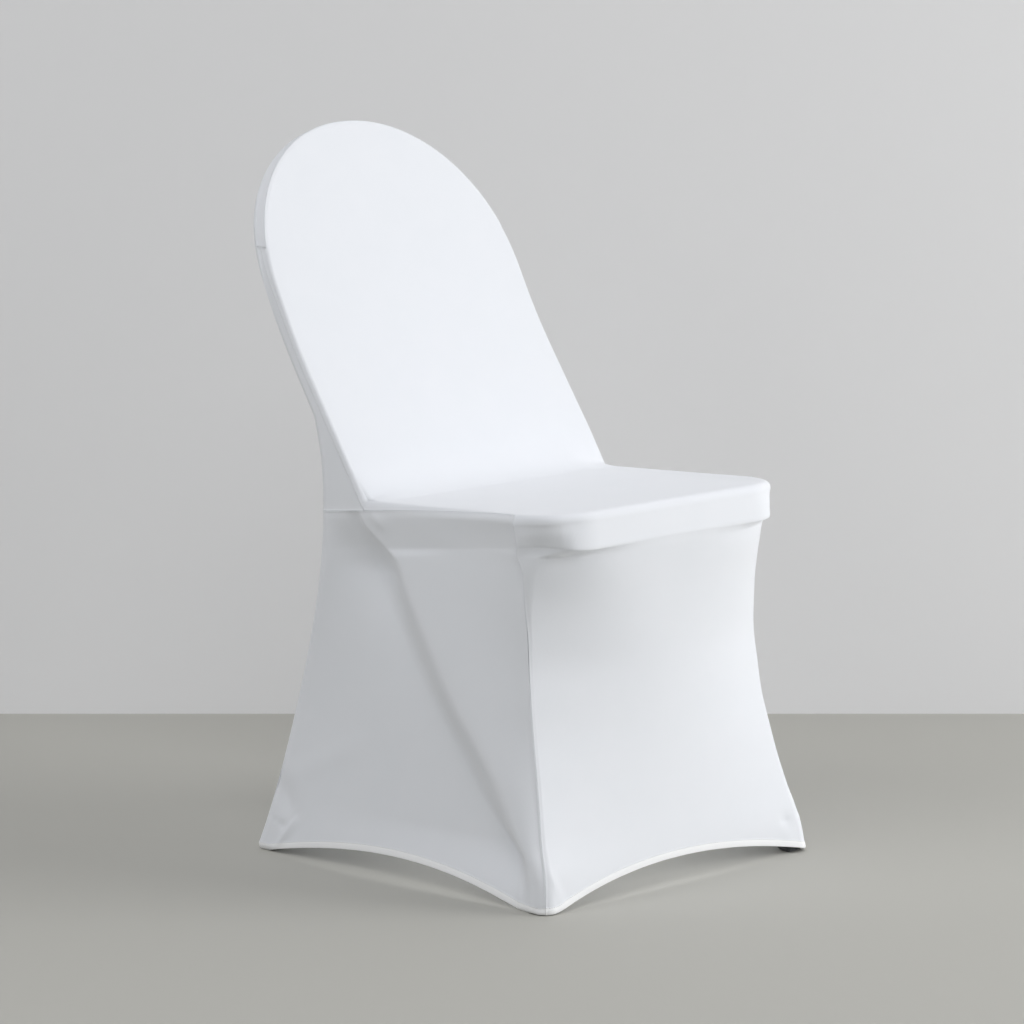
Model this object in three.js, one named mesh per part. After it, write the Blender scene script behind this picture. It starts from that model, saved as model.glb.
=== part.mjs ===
// A stretch cover for a folding chair with a round-topped back, in the shape it takes on the chair.
// Units are millimetres. +Z is up, the seat faces -Y, and the origin is on the floor, under the
// middle of the cover. A maker cuts it from eleven pieces, and each is one thin closed solid here:
// a front panel that runs from the round top down the back, over the seat and down to the front hem,
// a back panel, a strip over the round top, two upper and two lower side panels, and four pockets
// for the feet of the legs. A panel is a grid of rows going up and columns going across.
import * as THREE from 'three';

const { lerp, clamp, degToRad, smoothstep } = THREE.MathUtils;

// Cloth
const CLOTH = 1.5; // thickness
const SEAM_GAP = 0.34; // between two pieces that are sewn edge to edge

// Seat
const SIDE_X = 208; // half its width
const SEAT_FRONT = 234.2; // how far the lip reaches to the front
const SEAT_CORNER = 72; // radius of its front corners, in plan
const SEAT_EDGE = 11; // radius over its edge
const SEAT_REAR = { y: 72.6, z: 437.8 }; // where it meets the backrest
const SEAT_RISE = 0.045; // how much it rises to the front, for each mm
const SEAT_BACK_ROW = 46; // the hollow between the seat and the backrest begins here
const HOLLOW_TOP = 476; // and ends at this height
const SEAT_STRAIGHT = 0.8; // share of the way to the hollow at which its rows are straight

// Backrest
const LEAN = { low: 0.669, high: 0.516 }; // mm back for each mm up, below the bend and above it
const BEND = { low: 575, high: 646.6 };
const ARCH = { z: 672, rx: 205.6, rz: 186.7, power: 2.07 }; // the round top, close to half an ellipse
const BACK_DEPTH = 25; // from its front face to its rear face
const FRONT_ROUND = 4.5; // radius of its front edge
const REAR_ROUND = 8; // radius of its rear edge
const TOP_SLOPE = 9; // how much lower the rear edge is than the front edge at the very top
const JOIN_Z = 721; // the top strip ends here, on both sides

// Seams
const STRIP_SEAM = 4.4; // from the front face to the strip's seam, round the edge
const SIDE_SEAM = { join: 12.2, low: 9.3, settle: 90 }; // the same to the side panel's seam, below
const SEAM_UP = 64; // degrees up the seat's edge at which the side seam starts, behind the lip

// Hem, tubes and foot pockets
const HEM_RISE = { front: 27, side: 26, rear: 25 }; // height of the hem between two feet
const HEM_POWER = 1.8; // of its curve: 2 is a parabola, and less is flatter by the feet
const HEM_LOW = 1; // height of its outer edge at a foot, so that the pockets stand on the floor
const TUBE = {
  y: -219.4, // its middle, on the floor
  lean: 0.66, // mm back for each mm up
  width: 26,
  foot: 226, // how far out its crest is, on the floor and at the seat
  top: 208,
  fade: 340, // from this height up, the ridge that it makes fades out
};
const TUBE_STEP = { foot: 8, top: 4.5 }; // the cloth falls in by this much behind the tube
const POCKET = {
  height: 36,
  reach: 31, // from the corner seam, along each panel
  clear: 0.8, // from the panels
  floor: 2.5, // height of the upper face of its floor
  toe: 1.5, // its lower edge is drawn in by this much
};

// Plan sections of the front corners of the skirt, from the floor to the lip. The side and the front
// would meet at x and y, the corner turns by an arc of this radius, turn is how far it has turned
// from the front at the seam, and middle is how far out the panel's middle lies.
const FRONT_CORNER = [
  { z: 0, x: 226, y: 244.6, radius: 9, turn: 45, middle: 229, power: 2 },
  { z: 38, x: 221, y: 236.4, radius: 9, turn: 45, middle: 225, power: 2 },
  { z: 77, x: 215, y: 221.5, radius: 8, turn: 45, middle: 220.5, power: 2 },
  { z: 115, x: 208.2, y: 210.8, radius: 8, turn: 45, middle: 217, power: 2 },
  { z: 154, x: 202.8, y: 201.4, radius: 8, turn: 45, middle: 214.5, power: 2 },
  { z: 192, x: 198.5, y: 192.6, radius: 8, turn: 45, middle: 213.5, power: 2 },
  { z: 230, x: 196.5, y: 186.9, radius: 8, turn: 45, middle: 214, power: 2 },
  { z: 269, x: 195.2, y: 182.8, radius: 9, turn: 48, middle: 216, power: 2 },
  { z: 307, x: 196.9, y: 183.3, radius: 11, turn: 55, middle: 219.5, power: 2.4 },
  { z: 345, x: 200.6, y: 185.5, radius: 16, turn: 66, middle: 223.5, power: 3 },
  { z: 384, x: 207, y: 195.5, radius: 27, turn: 76, middle: 228.6, power: 3.8 },
  { z: 402, x: 208, y: 212.5, radius: 47, turn: 78, middle: 231, power: 3.8 },
];

// The same at the rear corners, up to where the backrest's own edge takes over
const REAR_CORNER = [
  { z: 0, x: 230, y: 244.5, radius: 12, turn: 35, middle: 232, power: 2 },
  { z: 44, x: 222.5, y: 231.4, radius: 12, turn: 35, middle: 227, power: 2 },
  { z: 109, x: 211.5, y: 216.6, radius: 12, turn: 35, middle: 219.5, power: 2 },
  { z: 173, x: 204.5, y: 201.6, radius: 12, turn: 35, middle: 209.5, power: 2 },
  { z: 237, x: 202.5, y: 184.4, radius: 12, turn: 35, middle: 198, power: 2 },
  { z: 300, x: 204, y: 167, radius: 12, turn: 35, middle: 187, power: 2 },
  { z: 360, x: 207, y: 153.5, radius: 12, turn: 35, middle: 177, power: 2 },
  { z: 420, x: 208, y: 147.2, radius: 11, turn: 35, middle: 170, power: 2 },
  { z: 480, x: 208, y: 149.6, radius: 10, turn: 36, middle: 166.5, power: 2.4 },
  { z: 530, x: 207.4, y: 161, radius: 9, turn: 38, middle: 168, power: 3 },
];
const REAR_BLEND = { from: 530, to: 575 };
const REAR_TURN = { low: 40, join: 90, from: 600 }; // turn at the seam from there up to the joins
const REAR_SEAM_Y = 140; // of the rear seam at the height of the seat

// Rows of the lip: how far in each lies, how deep under the seat's top, and its turn at the seam
const LIP = [
  { inset: 2.8, depth: 44.5, turn: 77 },
  { inset: 0.4, depth: 39.5, turn: 79 },
  { inset: 0, depth: 11, turn: 84 },
];
const LIP_UP = [30, 60, 90]; // rows over its edge, in degrees up from level
const LIP_UP_TURN = 86;

// Rows and columns
const ROWS = { skirt: 12, seat: 6, hollow: 4, back: 6, archLow: 2, archHigh: 9 };
const FACE = 4; // columns from the middle of a panel to its edge
const FRONT_WRAP = 5; // columns of the front panel round its edge
const FRONT_LAST = FACE + FRONT_WRAP;
const REAR_WRAP = 2; // columns of the back panel round its edge
const WRAP_TO_STRIP = 2; // of the front panel's, this many end at the top strip's seam
const COLUMNS = { turn: 2, front: ROWS.seat, tube: ROWS.hollow / 2, rear: 5, corner: 2 };
const SIDE_LAST = COLUMNS.front + COLUMNS.tube + COLUMNS.rear + COLUMNS.corner;
const UPPER_LAST = COLUMNS.rear + COLUMNS.corner;

/** Smooth value of a table's column at height z. */
function along(table, z, column) {
  const last = table.length - 1;
  if (z <= table[0].z) return table[0][column];
  if (z >= table[last].z) return table[last][column];
  const i = table.findIndex((row) => row.z > z) - 1;
  const slope = (k) => {
    const below = table[Math.max(k - 1, 0)];
    const above = table[Math.min(k + 1, last)];
    return (above[column] - below[column]) / (above.z - below.z);
  };
  const step = table[i + 1].z - table[i].z;
  const u = (z - table[i].z) / step;
  const straight = lerp(table[i][column], table[i + 1][column], u * u * (3 - 2 * u));
  return straight + step * u * (1 - u) * (slope(i) * (1 - u) - slope(i + 1) * u);
}

/** All of a corner table's columns at height z. */
function cornerRow(table, z) {
  const names = ['x', 'y', 'radius', 'turn', 'middle', 'power'];
  return Object.fromEntries(names.map((name) => [name, along(table, z, name)]));
}

/** Height of the seat's top at y. */
const seatTop = (y) => SEAT_REAR.z + SEAT_RISE * (SEAT_REAR.y - y);

/** Height of the side seam along the seat, which falls to the rear. */
const seatSeam = (y) => 435 - 0.098 * y - 0.00012 * y * y;

/** Height of the lower edge of the band round the seat's side. */
const bandBottom = (y) => Math.min(409, 390.4 - 0.1135 * y);

/** Front face of the backrest: two straight leans joined by a bend. */
function faceY(z) {
  const up = clamp(z - BEND.low, 0, BEND.high - BEND.low);
  const bend = ((LEAN.low - LEAN.high) / (2 * (BEND.high - BEND.low))) * up * up;
  const straight = LEAN.low * (Math.min(z, BEND.high) - SEAT_REAR.z);
  return SEAT_REAR.y + straight - bend + LEAN.high * Math.max(z - BEND.high, 0);
}

/** Half width of the backrest at height z. */
function halfWidth(z) {
  const share = clamp((z - ARCH.z) / ARCH.rz, 0, 1);
  const below = clamp((ARCH.z - z) / (ARCH.z - SEAT_REAR.z), 0, 1);
  return lerp(ARCH.rx, SIDE_X, below) * (1 - share ** ARCH.power) ** (1 / ARCH.power);
}

/** Point of the round top's outline and its outward direction, by the angle up from level. */
function outline(angle) {
  const c = Math.cos(angle);
  const s = Math.sin(angle);
  const size = (Math.abs(c) ** ARCH.power + s ** ARCH.power) ** (-1 / ARCH.power);
  const out = new THREE.Vector2(c / ARCH.rx, s / ARCH.rz).normalize();
  return { x: ARCH.rx * c * size, z: ARCH.z + ARCH.rz * s * size, out };
}

/** Section round the backrest's edge, by the length round it from its front face: how far out from
 *  the outline the point lies, how deep, and which way the cloth faces. */
function edgeSection(length) {
  const frontArc = (FRONT_ROUND * Math.PI) / 2;
  const flat = BACK_DEPTH - FRONT_ROUND - REAR_ROUND;
  const front = Math.min(length / FRONT_ROUND, Math.PI / 2);
  const rear = Math.max((length - frontArc - flat) / REAR_ROUND, 0);
  const level = clamp(length - frontArc, 0, flat);
  return {
    out: -FRONT_ROUND * (1 - Math.sin(front)) - REAR_ROUND * (1 - Math.cos(rear)),
    depth: FRONT_ROUND * (1 - Math.cos(front)) + level + REAR_ROUND * Math.sin(rear),
  };
}

/** A point of the backrest, by its depth behind the front face. */
function slabPoint(x, z, depth) {
  const drop = TOP_SLOPE * (depth / BACK_DEPTH) * smoothstep(z, JOIN_Z, ARCH.z + ARCH.rz);
  return new THREE.Vector3(x, faceY(z - drop) + depth, z - drop);
}

/** Length round the edge to the front panel's seam, below the top strip. */
function sideSeamLength(z) {
  return lerp(SIDE_SEAM.join, SIDE_SEAM.low, smoothstep(JOIN_Z - z, 0, SIDE_SEAM.settle));
}

/** The front panel's edge columns: the first ones end at the strip's seam, and the others go on. */
function frontWrap(wrap, z) {
  if (wrap <= WRAP_TO_STRIP) return (STRIP_SEAM * wrap) / WRAP_TO_STRIP;
  return lerp(STRIP_SEAM, sideSeamLength(z), (wrap - WRAP_TO_STRIP) / (FRONT_WRAP - WRAP_TO_STRIP));
}

/** The rear corner at any height: the table below, the backrest's own edge above. */
function rearRow(z) {
  const y = faceY(z) + BACK_DEPTH;
  const turn = lerp(REAR_TURN.low, REAR_TURN.join, smoothstep(z, REAR_TURN.from, JOIN_Z));
  const back = { x: halfWidth(z), y, radius: REAR_ROUND, turn, middle: y, power: 2 };
  const share = smoothstep(z, REAR_BLEND.from, REAR_BLEND.to);
  const low = cornerRow(REAR_CORNER, z);
  return Object.fromEntries(Object.keys(low).map((name) => [name, lerp(low[name], back[name], share)]));
}

/** Works out a corner whose panel bows by a power of x and meets the arc on a tangent. */
function corner(row) {
  const centre = { x: row.x - row.radius, y: row.y - row.radius };
  let slope = 0;
  let faceEnd = centre.x;
  let bow = 0;
  for (let i = 0; i < 8; i += 1) {
    faceEnd = centre.x + row.radius * Math.sin(slope);
    bow = row.middle - (centre.y + row.radius * Math.cos(slope));
    slope = Math.atan((row.power * bow) / faceEnd);
  }
  const at = (angle) => ({
    x: centre.x + row.radius * Math.sin(angle),
    y: centre.y + row.radius * Math.cos(angle),
  });
  return { ...row, centre, slope, faceEnd, bow, at, seam: degToRad(row.turn) };
}

/** Point of a front or back section at column j from the middle, with this many wrap columns. */
function sectionPoint(row, j, wrap) {
  const shape = corner(row);
  const side = Math.sign(j);
  const count = Math.abs(j);
  if (count <= FACE) {
    const x = (shape.faceEnd * count) / FACE;
    return { x: side * x, y: shape.middle - shape.bow * (x / shape.faceEnd) ** shape.power };
  }
  const p = shape.at(lerp(shape.slope, shape.seam, (count - FACE) / wrap));
  return { x: side * p.x, y: p.y };
}

/** Height of a hem, at a share of the way from its middle to a foot. */
const hem = (rise, share) => HEM_LOW + rise * (1 - Math.abs(share) ** HEM_POWER);

// ---- Front panel ----

/** Plan of the lip at column j. */
function lipPlan(j, inset, turn) {
  const share = clamp((Math.abs(j) - FACE) / FRONT_WRAP, 0, 1);
  const own = inset * (1 - 0.6 * share);
  const edge = { x: SIDE_X - own, y: SEAT_FRONT - own, radius: SEAT_CORNER - own };
  const p = sectionPoint({ ...edge, turn, middle: edge.y, power: 2 }, j, FRONT_WRAP);
  return { x: p.x, y: -p.y };
}

/** Angle up the seat's edge at which the side seam lies. */
function seamAngle(y) {
  const rise = 1 - (seatTop(y) - seatSeam(y)) / SEAT_EDGE;
  return Math.asin(clamp(rise, 0, Math.sin(degToRad(SEAM_UP))));
}

/** A point of the seat, flat on top and rounded over its edge. */
function seatPoint(x, y) {
  const across = Math.max(Math.abs(x) - SIDE_X + SEAT_CORNER, 0);
  const forward = Math.max(SEAT_CORNER - SEAT_FRONT - y, 0);
  const inside = SEAT_CORNER - Math.hypot(across, forward);
  const level = clamp(1 - inside / SEAT_EDGE, 0, 1);
  return new THREE.Vector3(x, y, seatTop(y) - SEAT_EDGE * (1 - Math.sqrt(1 - level * level)));
}

/** A row of the lip's rounding, which at the seam stops short of the top. */
function lipTop(j, angle) {
  const share = clamp((Math.abs(j) - FACE) / FRONT_WRAP, 0, 1);
  const up = degToRad((angle * lerp(90, SEAM_UP, share)) / 90);
  const inset = SEAT_EDGE * (1 - Math.cos(up));
  const edge = { x: SIDE_X - inset, y: SEAT_FRONT - inset, radius: SEAT_CORNER - inset };
  const p = sectionPoint({ ...edge, turn: LIP_UP_TURN, middle: edge.y, power: 2 }, j, FRONT_WRAP);
  return seatPoint(p.x, -p.y);
}

/** A point of the seat at column j of a straight row. Past the face it goes over the edge. */
function straightSeat(j, y) {
  const face = SIDE_X - SEAT_EDGE;
  const count = Math.abs(j);
  if (count <= FACE) return seatPoint((face * j) / FACE, y);
  const up = lerp(Math.PI / 2, seamAngle(y), (count - FACE) / FRONT_WRAP);
  return seatPoint(Math.sign(j) * (face + SEAT_EDGE * Math.cos(up)), y);
}

/** The seat, from the lip back to its last row. Each row starts as the lip's plan and straightens. */
function seat(j, k) {
  const start = lipTop(j, 90);
  const seamY = lerp(lipTop(FRONT_LAST, 90).y, SEAT_BACK_ROW, k);
  const row = straightSeat(j, seamY);
  if (Math.abs(j) === FRONT_LAST) return row;
  const share = smoothstep(k, 0, SEAT_STRAIGHT);
  return seatPoint(lerp(start.x, row.x, share), lerp(lerp(start.y, SEAT_BACK_ROW, k), seamY, share));
}
const SEAT_STEPS = [0.014, 0.028, 0.21, 0.45, 0.72, 1]; // close behind the corner, then wider

/** A point of the backrest at column j, below the round top. */
function backPoint(j, z) {
  const count = Math.abs(j);
  const wide = halfWidth(z);
  if (count <= FACE) return slabPoint(((wide - FRONT_ROUND) * j) / FACE, z, 0);
  const section = edgeSection(frontWrap(count - FACE, z));
  return slabPoint(Math.sign(j) * (wide + section.out), z, section.depth);
}

/** Height at which the seat's side seam meets the backrest's. */
const SEAM_CORNER_Z = 427.4;

/** The hollow between the seat and the backrest: soft in the middle, sharp at the seam. */
function hollow(j, k) {
  const first = straightSeat(j, SEAT_BACK_ROW);
  const last = backPoint(j, HOLLOW_TOP);
  const knee = new THREE.Vector3(last.x, SEAT_REAR.y, SEAT_REAR.z);
  if (Math.abs(j) > FACE) {
    knee.copy(backPoint(j, SEAM_CORNER_Z));
    knee.z = lerp(SEAT_REAR.z, SEAM_CORNER_Z, (Math.abs(j) - FACE) / FRONT_WRAP);
  }
  const soft = new THREE.QuadraticBezierCurve3(first, knee, last).getPoint(k);
  const sharp = k < 0.5 ? first.clone().lerp(knee, 2 * k) : knee.clone().lerp(last, 2 * k - 1);
  return soft.lerp(sharp, smoothstep(Math.abs(j), FACE - 1, FRONT_LAST));
}

/** Rows of the front panel at column j, from the hem to the foot of the round top. */
function frontColumn(j) {
  const top = FRONT_CORNER.at(-1).z;
  const points = [];
  const atFloor = (column) => sectionPoint(cornerRow(FRONT_CORNER, 0), column, FRONT_WRAP).x;
  const rise = hem(HEM_RISE.front, atFloor(j) / atFloor(FRONT_LAST));
  for (let i = 0; i <= ROWS.skirt; i += 1) {
    const z = lerp(rise, top, i / ROWS.skirt);
    const p = sectionPoint(cornerRow(FRONT_CORNER, z), j, FRONT_WRAP);
    points.push(new THREE.Vector3(p.x, -p.y, z));
  }
  for (const row of LIP) {
    const p = lipPlan(j, row.inset, row.turn);
    points.push(new THREE.Vector3(p.x, p.y, seatTop(p.y) - row.depth));
  }
  for (const angle of LIP_UP) points.push(lipTop(j, angle));
  for (const k of SEAT_STEPS) points.push(seat(j, k));
  for (let i = 1; i <= ROWS.hollow; i += 1) points.push(hollow(j, i / ROWS.hollow));
  for (let i = 1; i <= ROWS.back; i += 1) {
    points.push(backPoint(j, lerp(HOLLOW_TOP, ARCH.z, i / ROWS.back)));
  }
  return points;
}

// Rows at which seams meet
const LIP_TOP_ROW = ROWS.skirt + LIP.length + LIP_UP.length;
const SEAT_CORNER_ROW = LIP_TOP_ROW + ROWS.seat + ROWS.hollow / 2;
const ARCH_ROW = SEAT_CORNER_ROW + ROWS.hollow / 2 + ROWS.back;

/** Angles of the round top's rays, from one side over to the other, with one on each join. */
function archAngles() {
  const share = (JOIN_Z - ARCH.z) / ARCH.rz;
  const join = Math.atan2(share, (1 - share ** ARCH.power) ** (1 / ARCH.power));
  const half = [];
  for (let i = 0; i < ROWS.archLow; i += 1) half.push((join * i) / ROWS.archLow);
  for (let i = 0; i <= ROWS.archHigh; i += 1) half.push(lerp(join, Math.PI / 2, i / ROWS.archHigh));
  return [...half, ...half.slice(0, -1).reverse().map((angle) => Math.PI - angle)];
}
const ANGLES = archAngles();

/** A point of the round top, r columns out from its centre. */
function archPoint(angle, r, round, depth, section) {
  const at = outline(angle);
  const side = Math.cos(angle) < 0 ? -1 : 1;
  if (r > FACE) {
    const { out, depth: deep } = section(r - FACE, at.z);
    return slabPoint(at.x + out * at.out.x, at.z + out * at.out.y, deep);
  }
  const x = Math.abs(at.x) - round * Math.abs(at.out.x);
  return slabPoint((side * x * r) / FACE, lerp(ARCH.z, at.z - round * at.out.y, r / FACE), depth);
}

const frontArch = (angle, r) =>
  archPoint(angle, r, FRONT_ROUND, 0, (wrap, z) => edgeSection(frontWrap(wrap, z)));

// ---- Back panel ----

/** The rear edge's rounding, from the rear face to the seam. */
function rearWrap(wrap, z) {
  const angle = degToRad(rearRow(z).turn) * (wrap / REAR_WRAP);
  const depth = BACK_DEPTH - REAR_ROUND * (1 - Math.cos(angle));
  return { out: -REAR_ROUND * (1 - Math.sin(angle)), depth };
}
const rearArch = (angle, r) => archPoint(angle, r, REAR_ROUND, BACK_DEPTH, rearWrap);

/** Heights of the rear seam's points, one for each of the front seam's beside it. */
function rearHeights(frontSeam) {
  const skirtTop = bandBottom(REAR_SEAM_Y);
  const top = seatSeam(REAR_SEAM_Y);
  const skirt = frontSeam.slice(0, ROWS.skirt).map((_, i) => (skirtTop * i) / ROWS.skirt);
  const bandRows = LIP_TOP_ROW - ROWS.skirt;
  const band = Array.from({ length: bandRows + 1 }, (_, i) => lerp(skirtTop, top, i / bandRows));
  const above = frontSeam.slice(SEAT_CORNER_ROW + 1);
  const tall = ARCH.z - SEAM_CORNER_Z;
  const upper = above.map((p) => lerp(top, ARCH.z, (p.z - SEAM_CORNER_Z) / tall));
  return [...skirt, ...band, ...upper];
}

/** Rows of the back panel at column j. */
function backColumn(j, heights) {
  const atFloor = (column) => sectionPoint(rearRow(0), column, REAR_WRAP).x;
  const rise = hem(HEM_RISE.rear, atFloor(j) / atFloor(FACE + REAR_WRAP));
  return heights.map((height) => {
    const z = height + rise * Math.max(1 - height / heights[ROWS.skirt], 0);
    const p = sectionPoint(rearRow(z), j, REAR_WRAP);
    return new THREE.Vector3(p.x, p.y, z);
  });
}

// ---- Side panels ----

const LEAST_STRAIGHT = 4; // of the side ahead of the tube, by the feet

/** A side's section at height z: the front corner's arc, the tube's crest, the fall behind it, the
 *  rear corner's arc. Column j runs from the front seam to the rear seam. */
function sideSection(z, j) {
  const front = corner(cornerRow(FRONT_CORNER, z));
  const rear = corner(rearRow(z));
  const up = z / SEAT_REAR.z;
  const crest = { x: lerp(TUBE.foot, TUBE.top, up), y: TUBE.y - TUBE.width / 2 + TUBE.lean * z };
  const fade = 1 - smoothstep(z, TUBE.fade, FRONT_CORNER.at(-1).z);
  const fall = lerp(TUBE_STEP.foot, TUBE_STEP.top, up) * fade;
  const foot = { x: crest.x - fall, y: crest.y + TUBE.width };
  let leave = 0;
  let meet = 0;
  let start = crest;
  let end = foot;
  for (let i = 0; i < 6; i += 1) {
    const a = front.at(Math.PI / 2 - leave);
    const b = rear.at(Math.PI / 2 - meet);
    start = { x: a.x, y: -a.y };
    end = b;
    leave = Math.atan((crest.x - start.x) / Math.max(crest.y - start.y, LEAST_STRAIGHT));
    meet = Math.atan((foot.x - end.x) / (end.y - foot.y));
  }
  const { turn, front: ahead, tube, rear: behind, corner: round } = COLUMNS;
  if (j <= turn) {
    const p = front.at(lerp(front.seam, Math.PI / 2 - leave, j / turn));
    return { x: p.x, y: -p.y };
  }
  if (j <= ahead) {
    const share = (j - turn) / (ahead - turn);
    return { x: lerp(start.x, crest.x, share), y: lerp(start.y, crest.y, share) };
  }
  if (j <= ahead + tube) {
    const share = (j - ahead) / tube;
    return { x: lerp(crest.x, foot.x, smoothstep(share, 0, 1)), y: lerp(crest.y, foot.y, share) };
  }
  if (j <= ahead + tube + behind) {
    const share = (j - ahead - tube) / behind;
    return { x: lerp(foot.x, end.x, share), y: lerp(foot.y, end.y, share) };
  }
  return rear.at(lerp(Math.PI / 2 - meet, rear.seam, (j - ahead - tube - behind) / round));
}

const TUCK = 1.4; // how far the cloth is drawn in under the band
const BAND_LIP = 5; // height of that step
const BAND_START = 0.66; // share of the band's height at which its upper rows start

const MOST_STRAIGHT = 0.8; // share of an upper panel's width before its rear corner's columns

/** A point of the upper side panel: across from the front panel's seam and round the rear corner. */
function upperPoint(z, column) {
  const rear = corner(rearRow(z));
  const section = edgeSection(sideSeamLength(z));
  const startY = faceY(z) + section.depth;
  const straight = rear.centre.y - startY;
  const round = rear.radius * (Math.PI / 2 - rear.seam);
  const bend = Math.min(straight / (straight + round), MOST_STRAIGHT);
  const share = column <= COLUMNS.rear
    ? (bend * column) / COLUMNS.rear
    : lerp(bend, 1, (column - COLUMNS.rear) / COLUMNS.corner);
  const length = share * (straight + round);
  if (length <= straight) {
    return { x: lerp(halfWidth(z), rear.x, length / straight), y: startY + length };
  }
  return rear.at(Math.PI / 2 - (length - straight) / rear.radius);
}

/** The grid of an upper side panel on the +X side, between its two seams. */
function upperGrid(front, rear) {
  return front.map((start, i) => Array.from({ length: UPPER_LAST + 1 }, (_, j) => {
    const z = lerp(start.z, rear[i].z, j / UPPER_LAST);
    const p = upperPoint(z, j);
    return new THREE.Vector3(p.x, p.y, z);
  }));
}

/** A point of the band round the seat's side, or of the rounding over it. */
function bandPoint(row, y, topZ) {
  const tuck = TUCK * (1 - smoothstep(y, 0, REAR_SEAM_Y));
  const bottom = bandBottom(y);
  if (row === 1) return { inset: tuck, z: bottom };
  if (row === 2) return { inset: 0, z: bottom + BAND_LIP };
  const edgeZ = Math.min(seatTop(y) - SEAT_EDGE, topZ);
  const straight = Math.max(edgeZ - bottom - BAND_LIP, 0);
  const angle = Math.max(seamAngle(y), 0);
  const length = lerp(BAND_START, 1, (row - 3) / 3) * (straight + SEAT_EDGE * angle);
  if (length <= straight) return { inset: 0, z: bottom + BAND_LIP + length };
  const up = (length - straight) / SEAT_EDGE;
  return { inset: SEAT_EDGE * (1 - Math.cos(up)), z: edgeZ + SEAT_EDGE * Math.sin(up) };
}

/** The grid of a lower side panel on the +X side, under its top row. */
function sideGrid(top) {
  const atFloor = (column) => sideSection(0, column).y;
  const middle = (atFloor(0) + atFloor(SIDE_LAST)) / 2;
  const [first, end] = [top[0].y, top.at(-1).y];
  const rows = Array.from({ length: LIP_TOP_ROW }, () => []);
  top.forEach((above, j) => {
    const rise = hem(HEM_RISE.side, (atFloor(j) - middle) / (atFloor(SIDE_LAST) - middle));
    const share = (above.y - first) / (end - first);
    const skirtTop = lerp(FRONT_CORNER.at(-1).z, bandBottom(REAR_SEAM_Y), share);
    for (let i = 0; i <= ROWS.skirt; i += 1) {
      const z = lerp(rise, skirtTop, i / ROWS.skirt);
      const p = sideSection(z, j);
      rows[i].push(new THREE.Vector3(p.x, p.y, z));
    }
    const last = rows[ROWS.skirt].at(-1);
    const bandRows = LIP_TOP_ROW - ROWS.skirt;
    for (let i = 1; i < bandRows; i += 1) {
      const y = lerp(last.y, above.y, i / bandRows);
      const { inset, z } = bandPoint(i, y, above.z);
      const plain = sideSection(z, j).x;
      rows[ROWS.skirt + i].push(new THREE.Vector3(Math.min(plain, SIDE_X) - inset, y, z));
    }
  });
  return [...rows, top];
}

// ---- Sheets ----

/** Faces of a grid of points, seen from the side on which columns go right as rows go up. */
function gridFaces(grid) {
  const faces = [];
  for (let i = 0; i + 1 < grid.length; i += 1) {
    const count = Math.min(grid[i].length, grid[i + 1].length);
    for (let j = 0; j + 1 < count; j += 1) {
      faces.push([grid[i][j], grid[i][j + 1], grid[i + 1][j + 1], grid[i + 1][j]]);
    }
  }
  return faces.map((face) => face.filter((p, i) => p !== face[(i + 1) % face.length]));
}

const turned = (faces) => faces.map((face) => [...face].reverse());

/** Two triangles for each four-sided face. */
const triangles = (faces) =>
  faces.flatMap(([a, b, c, d]) => (d ? [[a, b, c], [a, c, d]] : [[a, b, c]]));

const faceNormal = ([a, b, c]) => {
  const side = new THREE.Vector3().subVectors(b, a);
  return side.cross(new THREE.Vector3().subVectors(c, a));
};

/** Outward direction at each point, over all panels, so that two panels agree along their seam. */
function outwardDirections(panels) {
  const directions = new Map();
  for (const face of triangles(panels.flatMap((panel) => panel.faces))) {
    const normal = faceNormal(face).normalize();
    face.forEach((p, i) => {
      const next = new THREE.Vector3().subVectors(face[(i + 1) % 3], p);
      const before = new THREE.Vector3().subVectors(face[(i + 2) % 3], p);
      const sum = directions.get(p) ?? new THREE.Vector3();
      directions.set(p, sum.addScaledVector(normal, next.angleTo(before)));
    });
  }
  directions.forEach((direction) => direction.normalize());
  return directions;
}

/** The edges round a panel, each from one point to the next. */
function borderEdges(faces) {
  const next = new Map();
  const seen = new Map();
  for (const face of faces) {
    face.forEach((p, i) => {
      const q = face[(i + 1) % face.length];
      if (!seen.has(p)) seen.set(p, new Set());
      seen.get(p).add(q);
    });
  }
  seen.forEach((ends, p) => ends.forEach((q) => {
    if (!seen.get(q).has(p)) next.set(p, q);
  }));
  return next;
}

/** A closed body of three.js triangles. */
function solid(points, faces) {
  const index = new Map(points.map((p, i) => [p, i]));
  const geometry = new THREE.BufferGeometry();
  const places = new THREE.Float32BufferAttribute(points.flatMap((p) => p.toArray()), 3);
  geometry.setAttribute('position', places);
  geometry.setIndex(triangles(faces).flat().map((p) => index.get(p)));
  return geometry;
}

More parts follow.
